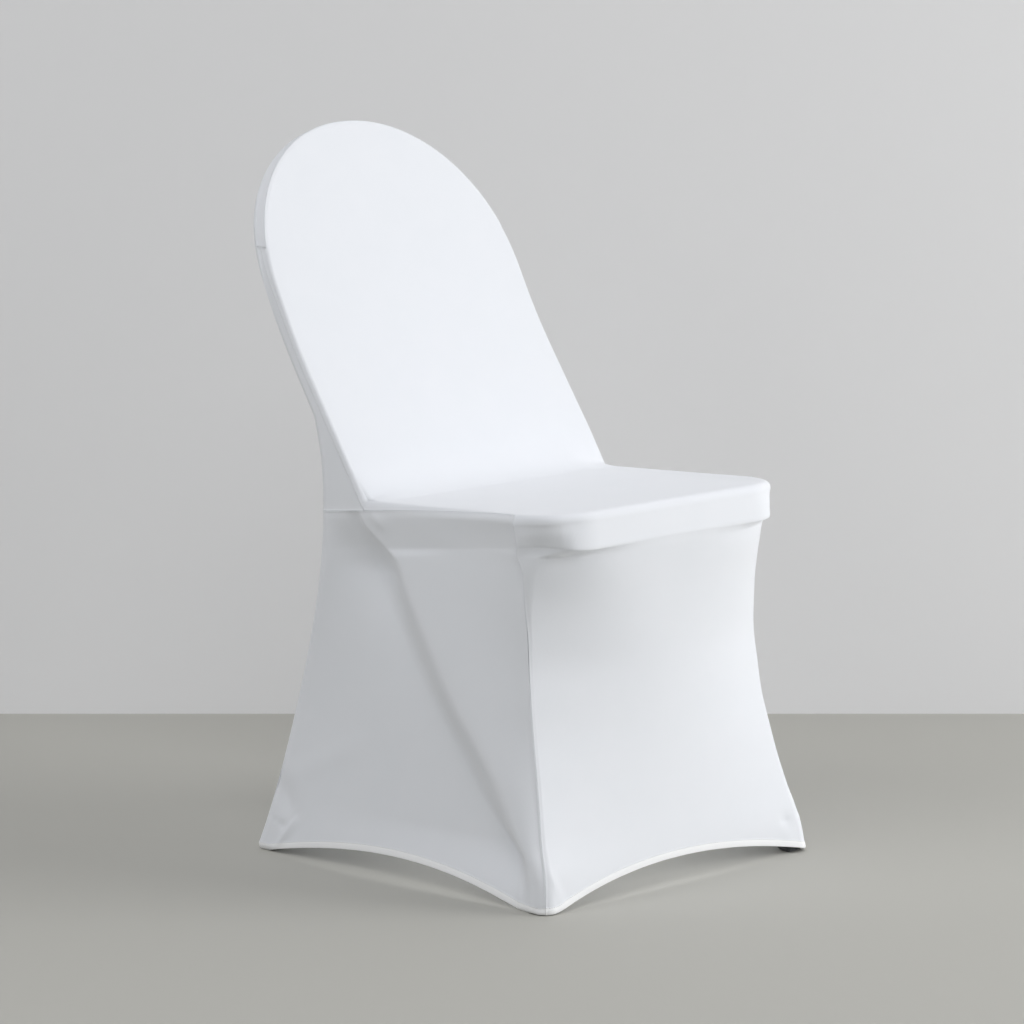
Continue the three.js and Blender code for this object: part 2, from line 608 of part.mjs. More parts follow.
/** Gives a panel its thickness, and draws its border back from its neighbours by half the gap. */
function sheet(faces, directions) {
  const next = borderEdges(faces);
  const previous = new Map([...next].map(([p, q]) => [q, p]));
  const inward = (from, to, normal) => {
    const along = new THREE.Vector3().subVectors(to, from).normalize();
    return normal.clone().cross(along).normalize();
  };
  const outer = new Map();
  const inner = new Map();
  for (const p of new Set(faces.flat())) {
    const normal = directions.get(p);
    const moved = p.clone();
    if (next.has(p)) {
      const a = inward(previous.get(p), p, normal);
      const b = inward(p, next.get(p), normal);
      const share = SEAM_GAP / 2 / Math.max(1 + a.dot(b), 0.5);
      moved.addScaledVector(a.add(b), share);
    }
    outer.set(p, moved);
    inner.set(p, moved.clone().addScaledVector(normal, -CLOTH));
  }
  const front = faces.map((face) => face.map((p) => outer.get(p)));
  const back = faces.map((face) => face.map((p) => inner.get(p)).reverse());
  const rim = [...next].map(([p, q]) => [outer.get(q), outer.get(p), inner.get(p), inner.get(q)]);
  return solid([...outer.values(), ...inner.values()], [...front, ...back, ...rim]);
}

// ---- Foot pockets ----

/** Point of a column of rows at height z. */
function columnAt(points, z) {
  const i = clamp(points.findIndex((p) => p.z > z), 1, points.length - 1);
  const [below, above] = [points[i - 1], points[i]];
  return below.clone().lerp(above, (z - below.z) / (above.z - below.z));
}

/** Points at set distances along a row of points. */
function measured(points, distances) {
  return distances.map((distance) => {
    let left = distance;
    for (let i = 1; i < points.length; i += 1) {
      const step = points[i].distanceTo(points[i - 1]);
      if (left <= step) return points[i - 1].clone().lerp(points[i], left / step);
      left -= step;
    }
    return points.at(-1);
  });
}

/** Moves a loop's points inward, level. */
function insetLoop(loop, distance) {
  return loop.map((p, i) => {
    const before = loop.at(i - 1);
    const after = loop[(i + 1) % loop.length];
    const a = new THREE.Vector2(before.y - p.y, p.x - before.x).normalize();
    const b = new THREE.Vector2(p.y - after.y, after.x - p.x).normalize();
    const share = distance / Math.max(1 + a.dot(b), 0.4);
    return new THREE.Vector3(p.x + (a.x + b.x) * share, p.y + (a.y + b.y) * share, p.z);
  });
}

const POCKET_STEPS = [2.5, 6, 12, 21, POCKET.reach]; // distances from the corner seam
const POCKET_FULL = 0.6; // how far its inner side bulges out to a square corner

/** Loop of a pocket at height z, inside the corner of two panels, anticlockwise from above. */
function pocketLoop(first, second, z, inset) {
  const one = measured(first.map((column) => columnAt(column, z)), [0, ...POCKET_STEPS]).reverse();
  const two = measured(second.map((column) => columnAt(column, z)), POCKET_STEPS);
  const [start, seam, end] = [one[0], one.at(-1), two.at(-1)];
  const far = start.clone().add(end).sub(seam);
  const round = new THREE.QuadraticBezierCurve3(end, far, start);
  const inside = [0.25, 0.5, 0.75].map((share) => round.getPoint(share).lerp(far, POCKET_FULL));
  const loop = [...one, ...two, ...inside].map((p) => p.setZ(z));
  const anticlockwise = THREE.ShapeUtils.area(loop) > 0;
  return insetLoop(anticlockwise ? loop : loop.reverse(), CLOTH + POCKET.clear + inset);
}

/** The mean of a loop's points. */
function middle(loop) {
  return loop.reduce((sum, p) => sum.add(p), new THREE.Vector3()).divideScalar(loop.length);
}

/** A pocket: a cup with a floor, open at its top. */
function pocket(first, second) {
  const at = (z, inset) => pocketLoop(first, second, z, inset);
  const loops = [
    at(0, POCKET.toe), at(POCKET.floor, 0), at(POCKET.height, 0),
    at(POCKET.height, CLOTH), at(POCKET.floor, CLOTH + 1),
  ];
  const closed = loops.map((loop) => [...loop, loop[0]]);
  const bottom = middle(loops[0]);
  const floor = middle(loops.at(-1));
  const faces = gridFaces(closed);
  for (let i = 0; i < loops[0].length; i += 1) {
    faces.push([bottom, closed[0][i + 1], closed[0][i]]);
    faces.push([floor, closed.at(-1)[i], closed.at(-1)[i + 1]]);
  }
  return solid([bottom, floor, ...loops.flat()], faces);
}

// ---- The cover ----

const across = (count) => Array.from({ length: 2 * count + 1 }, (_, i) => i - count);
const frontColumns = across(FRONT_LAST).map((j) => frontColumn(j));
const frontGrid = frontColumns[0].map((_, i) => frontColumns.map((column) => column[i]));
const heights = rearHeights(frontColumns.at(-1));
const backColumns = across(FACE + REAR_WRAP).map((j) => backColumn(j, heights));
const backGrid = backColumns[0].map((_, i) => backColumns.map((column) => column[i]));

/** Rays of a round top over a grid's last row. Rays that reach the top strip end at its seam. */
function archRays(lastRow, point, wrap, stripWrap) {
  const centre = (lastRow.length - 1) / 2;
  return ANGLES.map((angle, i) => {
    if (i === 0) return lastRow.slice(centre);
    if (i === ANGLES.length - 1) return lastRow.slice(0, centre + 1).reverse();
    const beside = i <= ROWS.archLow || i >= ANGLES.length - 1 - ROWS.archLow;
    const count = FACE + (beside ? wrap : stripWrap);
    return [lastRow[centre], ...Array.from({ length: count }, (_, r) => point(angle, r + 1))];
  });
}
const frontRays = archRays(frontGrid.at(-1), frontArch, FRONT_WRAP, WRAP_TO_STRIP);
const backRays = archRays(backGrid.at(-1), rearArch, REAR_WRAP, REAR_WRAP);

/** The strip over the round top, between the rays' ends. */
function stripGrid() {
  const joinRays = [frontRays[ROWS.archLow], frontRays.at(-1 - ROWS.archLow)];
  const stripRays = frontRays.slice(ROWS.archLow, frontRays.length - ROWS.archLow);
  return stripRays.map((ray, i) => {
    const angle = ANGLES[i + ROWS.archLow];
    const backEnd = backRays[i + ROWS.archLow].at(-1);
    if (joinRays.includes(ray)) return [...ray.slice(FACE + WRAP_TO_STRIP), backEnd];
    const inner = Array.from({ length: FRONT_WRAP - WRAP_TO_STRIP }, (_, k) => {
      const section = edgeSection(frontWrap(WRAP_TO_STRIP + k + 1, JOIN_Z));
      const at = outline(angle);
      return slabPoint(at.x + section.out * at.out.x, at.z + section.out * at.out.y, section.depth);
    });
    return [ray[FACE + WRAP_TO_STRIP], ...inner, backEnd];
  });
}

/** Both side panels of one side, sewn to the front panel's and the back panel's border points. */
function sidePanels(side) {
  const seam = side > 0 ? frontColumns.at(-1) : frontColumns[0];
  const rearSeam = side > 0 ? backColumns.at(-1) : backColumns[0];
  const low = ROWS.archLow;
  const rays = (list) => (side > 0 ? list.slice(1, low + 1) : list.slice(-1 - low, -1).reverse());
  const front = [...seam.slice(SEAT_CORNER_ROW), ...rays(frontRays).map((ray) => ray.at(-1))];
  const rear = [...rearSeam.slice(LIP_TOP_ROW), ...rays(backRays).map((ray) => ray.at(-1))];
  const mirrored = (grid) => grid.map((row) => row.map((p) => new THREE.Vector3(side * p.x, p.y, p.z)));
  const upper = mirrored(upperGrid(front, rear));
  upper.forEach((row, i) => {
    row[0] = front[i];
    row[row.length - 1] = rear[i];
  });
  const top = [...seam.slice(LIP_TOP_ROW, SEAT_CORNER_ROW), ...upper[0]];
  const lower = mirrored(sideGrid(top));
  lower[lower.length - 1] = top;
  lower.forEach((row, i) => {
    row[0] = seam[i];
    row[row.length - 1] = rearSeam[i];
  });
  return { upper, lower };
}

const left = sidePanels(-1);
const right = sidePanels(1);
const panels = [
  { name: 'front_panel', faces: [...gridFaces(frontGrid), ...gridFaces(frontRays)] },
  { name: 'back_panel', faces: turned([...gridFaces(backGrid), ...gridFaces(backRays)]) },
  { name: 'top_strip', faces: gridFaces(stripGrid()) },
  { name: 'side_upper_left', faces: turned(gridFaces(left.upper)) },
  { name: 'side_upper_right', faces: gridFaces(right.upper) },
  { name: 'side_lower_left', faces: turned(gridFaces(left.lower)) },
  { name: 'side_lower_right', faces: gridFaces(right.lower) },
];

/** The skirts' columns nearest a foot, from the corner outward. */
function outward(columns, side) {
  return (side > 0 ? [...columns].reverse() : columns).slice(0, FRONT_LAST);
}
const sideColumns = (grid) => grid[0].map((_, j) => grid.slice(0, ROWS.skirt).map((row) => row[j]));
const feet = [-1, 1].flatMap((side) => {
  const name = side < 0 ? 'left' : 'right';
  const columns = sideColumns((side < 0 ? left : right).lower);
  return [
    { name: `foot_pocket_front_${name}`, parts: [outward(frontColumns, side), columns] },
    { name: `foot_pocket_rear_${name}`, parts: [outward(backColumns, side), [...columns].reverse()] },
  ];
});

const cloth = new THREE.MeshStandardMaterial({ color: 0xe9ecef, roughness: 0.85, metalness: 0 });
const directions = outwardDirections(panels);
const cover = new THREE.Group();

function addPiece(name, geometry) {
  geometry.computeVertexNormals();
  const piece = new THREE.Mesh(geometry, cloth.clone());
  piece.name = name;
  cover.add(piece);
}

for (const { name, faces } of panels) addPiece(name, sheet(faces, directions));
for (const { name, parts } of feet) addPiece(name, pocket(...parts));

// The origin goes under the middle of the whole cover.
const box = new THREE.Box3().setFromObject(cover);
cover.position.set(0, -(box.min.y + box.max.y) / 2, -box.min.z);

export default cover;
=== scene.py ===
# %% [markdown]
# # A stretch cover for a folding chair
# The real cover is seven panels of white stretch knit and four small foot pockets, sewn together
# and pulled over a folding chair with a round-topped back. It could be simulated, but stretch
# cloth takes the shape of what is inside it, so every panel here is a surface worked out from the
# chair's own sizes: a section for each height, with folds added where the cloth is caught or slack.

# %% Load the frame
import math

import bpy
import numpy as np
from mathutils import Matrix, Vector


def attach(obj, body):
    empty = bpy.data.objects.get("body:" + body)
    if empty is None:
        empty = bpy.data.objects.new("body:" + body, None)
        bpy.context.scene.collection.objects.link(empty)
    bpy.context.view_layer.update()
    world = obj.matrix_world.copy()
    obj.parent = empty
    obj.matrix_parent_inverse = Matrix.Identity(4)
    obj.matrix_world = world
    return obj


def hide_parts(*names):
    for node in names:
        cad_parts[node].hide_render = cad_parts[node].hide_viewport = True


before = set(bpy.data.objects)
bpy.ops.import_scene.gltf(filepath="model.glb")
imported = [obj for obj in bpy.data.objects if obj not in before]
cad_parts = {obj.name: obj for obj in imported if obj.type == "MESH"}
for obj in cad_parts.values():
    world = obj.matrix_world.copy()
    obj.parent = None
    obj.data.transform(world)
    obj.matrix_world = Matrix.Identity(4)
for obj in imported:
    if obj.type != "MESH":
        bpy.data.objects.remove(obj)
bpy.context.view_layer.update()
MM = 0.001

# %% [markdown]
# ## Sizes
# All lengths are in millimetres until a panel's points go into its mesh. The seat faces -Y, the
# floor is at z = 0 and y = 0 lies midway between the front and the rear feet.

# %% Sizes of the chair inside, as the cover shows them
# The seat: half width, front, radius of its front corners and of its edge, rear, height and rise.
SIDE_X, SEAT_FRONT, SEAT_CORNER, SEAT_EDGE = 208.0, 234.2, 72.0, 11.0
SEAT_REAR_Y, SEAT_REAR_Z, SEAT_RISE = 72.6, 437.8, 0.045
# The backrest: two leans and the bend between them, the round top, and the section of its edge.
LEAN_LOW, LEAN_HIGH, BEND_LOW, BEND_HIGH = 0.669, 0.516, 575.0, 646.6
ARCH_Z, ARCH_RX, ARCH_RZ, ARCH_POWER = 672.0, 205.6, 186.7, 2.07
BACK_DEPTH, FRONT_ROUND, REAR_ROUND, TOP_SLOPE, JOIN_Z = 25.0, 4.5, 8.0, 9.0, 721.0

# A corner's section at each height: where it lies, its arc's radius and its turn in degrees to the
# seam, and the middle of the bowed face beside it and the power of that bow.
NAMES = ("z", "x", "y", "radius", "turn", "middle", "power")
FRONT_CORNER = dict(zip(NAMES, np.array([
    (0, 230, 242, 16, 45, 228, 2), (38, 223.5, 235.5, 12, 45, 225, 2),
    (77, 215.5, 221.5, 9, 45, 220.5, 2), (115, 208.2, 210.8, 8, 45, 217, 2),
    (154, 202.8, 201.4, 8, 45, 214.5, 2), (192, 198.5, 192.6, 8, 45, 213.5, 2),
    (230, 196.5, 186.9, 8, 45, 214, 2), (269, 194.6, 182.8, 9, 48, 216, 2),
    (307, 195.3, 183.7, 11, 55, 219.5, 2.4), (345, 198.4, 187, 16, 66, 224, 3),
    (384, 201.3, 197, 27, 76, 230, 3.8), (402, 203.5, 211, 50, 80, 233, 3.4),
]).T))
REAR_CORNER = dict(zip(NAMES, np.array([
    (0, 230, 244.5, 12, 35, 232, 2), (44, 222.5, 231.4, 12, 35, 227, 2),
    (109, 211.5, 216.6, 12, 35, 219.5, 2), (173, 204.5, 201.6, 12, 35, 209.5, 2),
    (237, 202.5, 184.4, 12, 35, 198, 2), (300, 204, 167, 12, 35, 187, 2),
    (360, 207, 153.5, 12, 35, 177, 2), (420, 208, 147.2, 11, 35, 170, 2),
    (480, 208, 149.6, 10, 36, 166.5, 2.4), (530, 207.4, 161, 9, 38, 168, 3),
]).T))
print("corner sections:", len(FRONT_CORNER["z"]), "at the front,", len(REAR_CORNER["z"]), "at the rear")

# %% Curves that the panels share
def mix(a, b, share):
    """Straight blend: a where share is 0, b where it is 1."""
    return a + (b - a) * share


def ease(value, low, high):
    """Smooth step from 0 below low to 1 above high: 3u^2 - 2u^3 of the share u between them."""
    u = np.clip((value - low) / (high - low), 0, 1)
    return u * u * (3 - 2 * u)


def bell(distance, width):
    """A bell shape: exp(-(distance / width)^2)."""
    return np.exp(-((distance / width) ** 2))


def unit(vectors):
    """Vectors made one long."""
    return vectors / np.maximum(np.linalg.norm(vectors, axis=-1, keepdims=True), 1e-9)


def along(table, z, name):
    """A table's column at height z: a cubic through its rows, whose slopes come from the rows beside."""
    at, value = table["z"], table[name]
    slope = np.empty_like(value)
    slope[1:-1] = (value[2:] - value[:-2]) / (at[2:] - at[:-2])
    slope[0] = (value[1] - value[0]) / (at[1] - at[0])
    slope[-1] = (value[-1] - value[-2]) / (at[-1] - at[-2])
    z = np.clip(z, at[0], at[-1])
    i = np.clip(np.searchsorted(at, z, side="right") - 1, 0, len(at) - 2)
    step = at[i + 1] - at[i]
    u = (z - at[i]) / step
    straight = mix(value[i], value[i + 1], u * u * (3 - 2 * u))
    return straight + step * u * (1 - u) * (slope[i] * (1 - u) - slope[i + 1] * u)


print("front corner 200 mm up: x", round(float(along(FRONT_CORNER, np.array(200.0), "x")), 1), "mm")

# %% The seat and the backrest
# The side seam along the seat: its height at y = 0, its slope and its bow.
SEAM_Z, SEAM_SLOPE, SEAM_BOW = 435.0, 0.098, 0.00012
# Length round the backrest's edge to the side panel's seam, at the top strip and from 90 mm below.
EDGE_AT_STRIP, EDGE_BELOW, EDGE_WIDENS = 12.2, 9.3, 90.0


def seat_top(y):
    """Height of the seat's top, which rises to the front."""
    return SEAT_REAR_Z + SEAT_RISE * (SEAT_REAR_Y - y)


def seat_seam(y):
    """Height of the side seam along the seat: a shallow curve that falls to the rear."""
    return SEAM_Z - SEAM_SLOPE * y - SEAM_BOW * y * y


def face_y(z):
    """Front face of the backrest: two straight leans joined by a bend of changing slope."""
    up = np.clip(z - BEND_LOW, 0, BEND_HIGH - BEND_LOW)
    bend = (LEAN_LOW - LEAN_HIGH) / (2 * (BEND_HIGH - BEND_LOW)) * up * up
    straight = LEAN_LOW * (np.minimum(z, BEND_HIGH) - SEAT_REAR_Z)
    return SEAT_REAR_Y + straight - bend + LEAN_HIGH * np.maximum(z - BEND_HIGH, 0)


def half_width(z):
    """Half width of the back: nearly straight, then the curve (1 - u^p)^(1/p) of the round top."""
    share = np.clip((z - ARCH_Z) / ARCH_RZ, 0, 1)
    below = np.clip((ARCH_Z - z) / (ARCH_Z - SEAT_REAR_Z), 0, 1)
    return mix(ARCH_RX, SIDE_X, below) * (1 - share**ARCH_POWER) ** (1 / ARCH_POWER)


def side_seam_length(z):
    """From the front face round the edge to the side panel's seam. It grows towards the top strip."""
    return mix(EDGE_AT_STRIP, EDGE_BELOW, ease(JOIN_Z - z, 0, EDGE_WIDENS))


def edge_section(length):
    """Round the backrest's edge by a length: a quarter arc, a flat and a quarter arc. Gives how far
    out of the outline and how deep behind the front face the point lies."""
    arc = FRONT_ROUND * np.pi / 2
    flat = BACK_DEPTH - FRONT_ROUND - REAR_ROUND
    front = np.clip(length / FRONT_ROUND, 0, np.pi / 2)
    rear = np.maximum((length - arc - flat) / REAR_ROUND, 0)
    out = -FRONT_ROUND * (1 - np.sin(front)) - REAR_ROUND * (1 - np.cos(rear))
    level = np.clip(length - arc, 0, flat)
    return out, FRONT_ROUND * (1 - np.cos(front)) + level + REAR_ROUND * np.sin(rear)


def slab(x, z, depth):
    """A point of the backrest by its depth. The top slopes down to the rear."""
    drop = TOP_SLOPE * (depth / BACK_DEPTH) * ease(z, JOIN_Z, ARCH_Z + ARCH_RZ)
    return np.stack(np.broadcast_arrays(x, face_y(z - drop) + depth, z - drop), axis=-1)


print("bend of the back at", round(float(face_y(np.array(BEND_HIGH))), 1), "mm")

# %% The corners' sections
# Turn of the backrest's rear corner in degrees, and the height from which it grows. The table's last
# row, and the height over which its difference from the backrest's own edge is let out.
EDGE_TURN, EDGE_TURNS_AT = (40.0, 90.0), 600.0
TABLE_TOP, LET_OUT = REAR_CORNER["z"][-1], 85.0


def back_edge(z):
    """The backrest's own rear corner at a height. It turns on from EDGE_TURNS_AT to the join."""
    y = face_y(z) + BACK_DEPTH
    turn = mix(*EDGE_TURN, ease(z, EDGE_TURNS_AT, JOIN_Z))
    return dict(x=half_width(z), y=y, radius=REAR_ROUND, middle=y, power=2.0, turn=turn)


def rear_row(z):
    """The rear corner's columns at a height: the table up to its last row, and above it the
    backrest's own edge, with what the last row differs from it by, less and less."""
    low = np.minimum(z, TABLE_TOP)
    rest = 1 - ease(z, TABLE_TOP, TABLE_TOP + LET_OUT)
    own, start = back_edge(z), back_edge(low)
    return {name: own[name] + (along(REAR_CORNER, low, name) - start[name]) * rest for name in NAMES[1:]}


def front_row(z):
    """The front corner's columns at a height."""
    return {name: along(FRONT_CORNER, z, name) for name in NAMES[1:]}


def corner(row):
    """Where a panel's bowed face meets its corner's arc on a tangent, found in a few rounds."""
    cx, cy = row["x"] - row["radius"], row["y"] - row["radius"]
    slope = np.zeros_like(cx)
    for _ in range(8):
        face_end = cx + row["radius"] * np.sin(slope)
        bow = row["middle"] - (cy + row["radius"] * np.cos(slope))
        slope = np.arctan(row["power"] * bow / face_end)
    return dict(row, cx=cx, cy=cy, slope=slope, face_end=face_end, bow=bow, seam=np.radians(row["turn"]))


def section(row, t):
    """A front or back section: t from 0 to 1 runs over the bowed face, middle - bow * (x / end)^p,
    and from 1 to 2 round the corner's arc to the seam. Negative t is the other side."""
    c = corner(row)
    a = np.abs(t)
    x = c["face_end"] * np.minimum(a, 1)
    y = c["middle"] - c["bow"] * np.abs(x / c["face_end"]) ** c["power"]
    angle = mix(c["slope"], c["seam"], np.clip(a - 1, 0, 1))
    x = np.where(a > 1, c["cx"] + c["radius"] * np.sin(angle), x)
    y = np.where(a > 1, c["cy"] + c["radius"] * np.cos(angle), y)
    return np.sign(t) * x, y


def wrap_length(row):
    """Length of a corner's arc, from the end of the bowed face to the seam."""
    c = corner(row)
    return c["radius"] * (c["seam"] - c["slope"])


print("front corner's arc at the floor:", round(float(wrap_length(front_row(np.zeros(1)))[0]), 1), "mm")

# %% [markdown]
# ## Columns
# A seam shows because the cloth rolls in towards it over the last few millimetres. So a panel's
# columns lie at fixed distances from its seams, close together near them, and the rest is spread
# evenly between. Subdivision could refine the whole panel instead, at many more faces.

# %% Columns of a panel
# Distances from a seam, and shares of what is left of the wrapped edge, from the face to the seam.
# The first shares end at the top strip's seam, which lies STRIP_SEAM along the edge's section.
STRIP_SEAM, FACE_COLUMNS = 4.4, 36
NEAR_SEAM = np.array([3.0, 1.8, 1.0, 0.4, 0.0])
SPREAD = EDGE_AT_STRIP - NEAR_SEAM[0]
TO_STRIP = np.array([0.92, 0.848, 0.78, 0.717, 0.67, 0.63, 0.565, 1 - STRIP_SEAM / SPREAD])
PAST_STRIP = np.array([0.44, 0.36, 0.28, 0.2, 0.13, 0.06])
# Distances of a panel's first rows from its hem, and from any other sewn edge.
HEM_STEPS = (0, 0.6, 1.4, 2.6, 4, 5.4, 6.6, 7.4, 8.0, 8.6, 9.2, 10, 11.2, 13)
EDGE_STEPS = (0, 0.4, 1.0, 1.8, 3.0)


def wrap_shares(length):
    """Shares of the way round an edge of this length, for columns at set distances from its seam."""
    spread = NEAR_SEAM[0] + np.concatenate([TO_STRIP, PAST_STRIP]) * (length - NEAR_SEAM[0])
    near = np.broadcast_to(NEAR_SEAM, (*spread.shape[:-1], len(NEAR_SEAM)))
    return 1 - np.concatenate([spread, near], axis=-1) / length


def across(length):
    """Columns over a whole panel, for rows whose wrapped edges have these lengths."""
    face = np.linspace(0, 1, FACE_COLUMNS + 1)
    face = np.broadcast_to(face, (len(length), len(face)))
    half = np.concatenate([face, 1 + wrap_shares(length)], axis=-1)
    return np.concatenate([-half[:, :0:-1], half], axis=-1)


def steps(total, spacing, fine=(), fine_end=()):
    """Rows from 0 to 1 over a length: these distances first, even steps between, these last."""
    first = [*fine] or [0.0]
    last = [total - d for d in fine_end][::-1] or [total]
    count = max(int(round((last[0] - first[-1]) / spacing)), 1)
    middle = np.linspace(first[-1], last[0], count + 1)[1:-1]
    return np.concatenate([first, middle, last])[:, None] / total


def past_face(t):
    """Share of the way round the corner: 0 over the face and 1 at the seam."""
    return np.clip(np.abs(t) - 1, 0, 1)


print("columns of the front panel:", across(np.full((1, 1), EDGE_AT_STRIP)).shape[1])

# %% [markdown]
# ## The front panel
# One length of cloth runs from the round top down the back, over the seat and the lip and down to
# the hem. Its rows are worked out zone by zone, from the hem up. The round top can't be rows of a
# grid, because they would shrink to nothing, so it is a fan of rays from one point.

# %% Hem and front skirt
# The hem's arch on each edge: its rise, its middle and its half width as shares of the edge's half.
HEM_ARCH = {"front": (26.0, 0.054, 0.973), "side": (25.5, 0.05, 0.866), "rear": (25.0, 0.0, 0.93)}
HEM_LOW = 1.0
SKIRT_TOP, SKIRT_LENGTH = FRONT_CORNER["z"][-1], 400.0


def hem_height(edge, share):
    """The hem's arch between two feet: rise * (1 - u^2), a little above the floor. The share of the
    way from the middle to a foot becomes u, moved to the arch's own middle and over its own width."""
    rise, middle, width = HEM_ARCH[edge]
    return HEM_LOW + rise * (1 - np.minimum(np.abs(share - middle) / width, 1) ** 2)


def front_skirt():
    """Rows from the hem to under the lip: the corner's section at each height."""
    k = steps(SKIRT_LENGTH, spacing=3.4, fine=HEM_STEPS)
    t = across(wrap_length(front_row(k * SKIRT_TOP)))
    at_floor, _ = section(front_row(np.zeros_like(t)), t)
    z = mix(hem_height("front", at_floor / at_floor.max()), SKIRT_TOP, k)
    x, y = section(front_row(z), t)
    return np.stack([x, -y, z], axis=-1)


print("front skirt:", front_skirt().shape[0], "rows")

# %% The lip round the seat
# Its depth at the front and at the seams, how far its foot is tucked in over what height, and how
# much less that is at the seams.
LIP_DEPTH, LIP_SHALLOW, SHALLOW_BY = 42.8, 37.5, 0.8
LIP_TUCK, LIP_LOW, TUCK_LESS = 0.8, 4.0, 0.6
LIP_STEPS = (0, 0.8, 1.8, 3.0, 4.4, 6.0, 7.8)
# The plan's turn at the seam, in degrees: at the lip's foot, below its rounded edge and on top.
LIP_TURNS = (82.0, 84.0, 86.0)
# Flare at the front, lean at the sides and how far they reach over the seat. Then the radians round
# the corner over which the lean takes over, and over which it lessens towards the seam.
LIP_FLARE, LIP_LEAN, FLARE_REACH = 3.8, 9.0, 60.0
LEAN_STARTS, LEAN_LESSENS, LEAN_LESS = (0.4, 0.9), (1.1, 1.45), 0.6
# How far up the edge's quarter circle the side seam lies at most, in degrees.
SEAM_UP = 64.0


def lip_plan(t, inset, turn):
    """The seat's outline moved in by inset: straight front, corner arc, to its turn at the seam."""
    edge = SEAT_FRONT - inset
    row = dict(x=SIDE_X - inset, y=edge, radius=SEAT_CORNER - inset, turn=turn, middle=edge, power=2.0)
    x, y = section(row, t)
    return x, -y


def lean_lip(points, up=1.0):
    """The lip leans. At the front its top stands back by LIP_FLARE, and towards the side seams its
    foot stands back by LIP_LEAN instead. The seat follows, less and less over FLARE_REACH."""
    over = np.maximum(np.abs(points[..., 0]) - SIDE_X + SEAT_CORNER, 0)
    ahead = np.maximum(SEAT_CORNER - SEAT_FRONT - points[..., 1], 0)
    away = np.maximum(np.hypot(over, ahead), 1e-6)
    angle = np.arctan2(over, ahead)
    back = LIP_LEAN * (1 - LEAN_LESS * ease(angle, *LEAN_LESSENS))
    lean = mix(LIP_FLARE * up, back * (1 - up), ease(angle, *LEAN_STARTS))
    lean = lean * (1 - ease(SEAT_CORNER - away, 0, FLARE_REACH)) / away
    return points + np.stack([-np.sign(points[..., 0]) * over * lean, ahead * lean, 0 * lean], axis=-1)


def lip_side():
    """Upright rows of the lip. It's less deep at the seams, and its lower edge is tucked in by the
    square of the way down to it."""
    up = steps(LIP_DEPTH - SEAT_EDGE, spacing=2.2, fine=LIP_STEPS)
    turn = mix(*LIP_TURNS[:2], up)
    t = across(SEAT_CORNER * np.radians(turn))
    depth = mix(LIP_DEPTH, LIP_SHALLOW, ease(np.abs(t) - 1, 0, SHALLOW_BY))
    inset = LIP_TUCK * np.clip(1 - up * (LIP_DEPTH - SEAT_EDGE) / LIP_LOW, 0, 1) ** 2
    x, y = lip_plan(t, inset * (1 - TUCK_LESS * past_face(t)), turn)
    return lean_lip(np.stack([x, y, seat_top(y) - mix(depth, SEAT_EDGE, up)], axis=-1), up)


def seat_surface(x, y):
    """The seat: flat, and rounded over its edge by a quarter circle."""
    over = np.maximum(np.abs(x) - SIDE_X + SEAT_CORNER, 0)
    ahead = np.maximum(SEAT_CORNER - SEAT_FRONT - y, 0)
    level = np.clip(1 - (SEAT_CORNER - np.hypot(over, ahead)) / SEAT_EDGE, 0, 1)
    return np.stack([x, y, seat_top(y) - SEAT_EDGE * (1 - np.sqrt(1 - level * level))], axis=-1)


def lip_top(angle, t):
    """Rows over the lip's edge, by the angle up from level. At the seam they stop at SEAM_UP."""
    up = np.radians(angle * mix(90, SEAM_UP, past_face(t)) / 90)
    turn = mix(*LIP_TURNS[1:], np.clip(angle / 90, 0, 1))
    return seat_surface(*lip_plan(t, SEAT_EDGE * (1 - np.cos(up)), turn))


print("lip:", lip_side().shape[0], "upright rows")

# %% The seat's rows
# The y of its last row, its length to there, and the shares of that by which its rows are straight
# and by which their columns are spread as the hollow's are.
SEAT_BACK_ROW, SEAT_LENGTH, STRAIGHT_BY, SPREAD_BY = 46.0, 213.0, 0.8, 0.3


def seam_angle(y):
    """How far up the seat's edge the side seam lies."""
    rise = 1 - (seat_top(y) - seat_seam(y)) / SEAT_EDGE
    return np.arcsin(np.clip(rise, 0, math.sin(math.radians(SEAM_UP))))


def straight_seat(t, y):
    """A straight row of the seat: flat, then over its edge to the side seam."""
    face = SIDE_X - SEAT_EDGE
    up = mix(np.pi / 2, seam_angle(y), past_face(t))
    x = np.where(np.abs(t) > 1, face + SEAT_EDGE * np.cos(up), face * np.abs(t))
    return seat_surface(np.sign(t) * x, y + 0 * x)


def seat_rows():
    """Rows from the lip's top to the hollow. They start on the lip's curve and straighten."""
    lip_columns = across(np.full((1, 1), SEAT_CORNER * math.radians(LIP_TURNS[-1])))
    start = lip_top(90.0, lip_columns)
    k = steps(SEAT_LENGTH, spacing=4.2, fine=(0, 1.5, 3, 5, 8))[1:]
    seam_y = mix(start[0, -1, 1], SEAT_BACK_ROW, k)
    length = SEAT_EDGE * (np.pi / 2 - seam_angle(seam_y))
    share = ease(k, 0, STRAIGHT_BY)
    t = mix(lip_columns, across(length), ease(k, 0, SPREAD_BY))
    row = straight_seat(t, seam_y)
    x = mix(start[..., 0], row[..., 0], share)
    miss = row[:, -1:, 0] - x[:, -1:]
    x = x + np.sign(t) * miss * past_face(t) ** 2
    y = mix(mix(start[..., 1], SEAT_BACK_ROW, k), seam_y, share)
    return seat_surface(x, y)


print("seat:", seat_rows().shape[0], "rows")

# %% Backrest and hollow
# Height of the hollow's last row, and the columns over which the hollow goes from soft to sharp.
HOLLOW_TOP, HOLLOW_ROWS, SHARPENS = 476.0, 16, (0.72, 1.12)


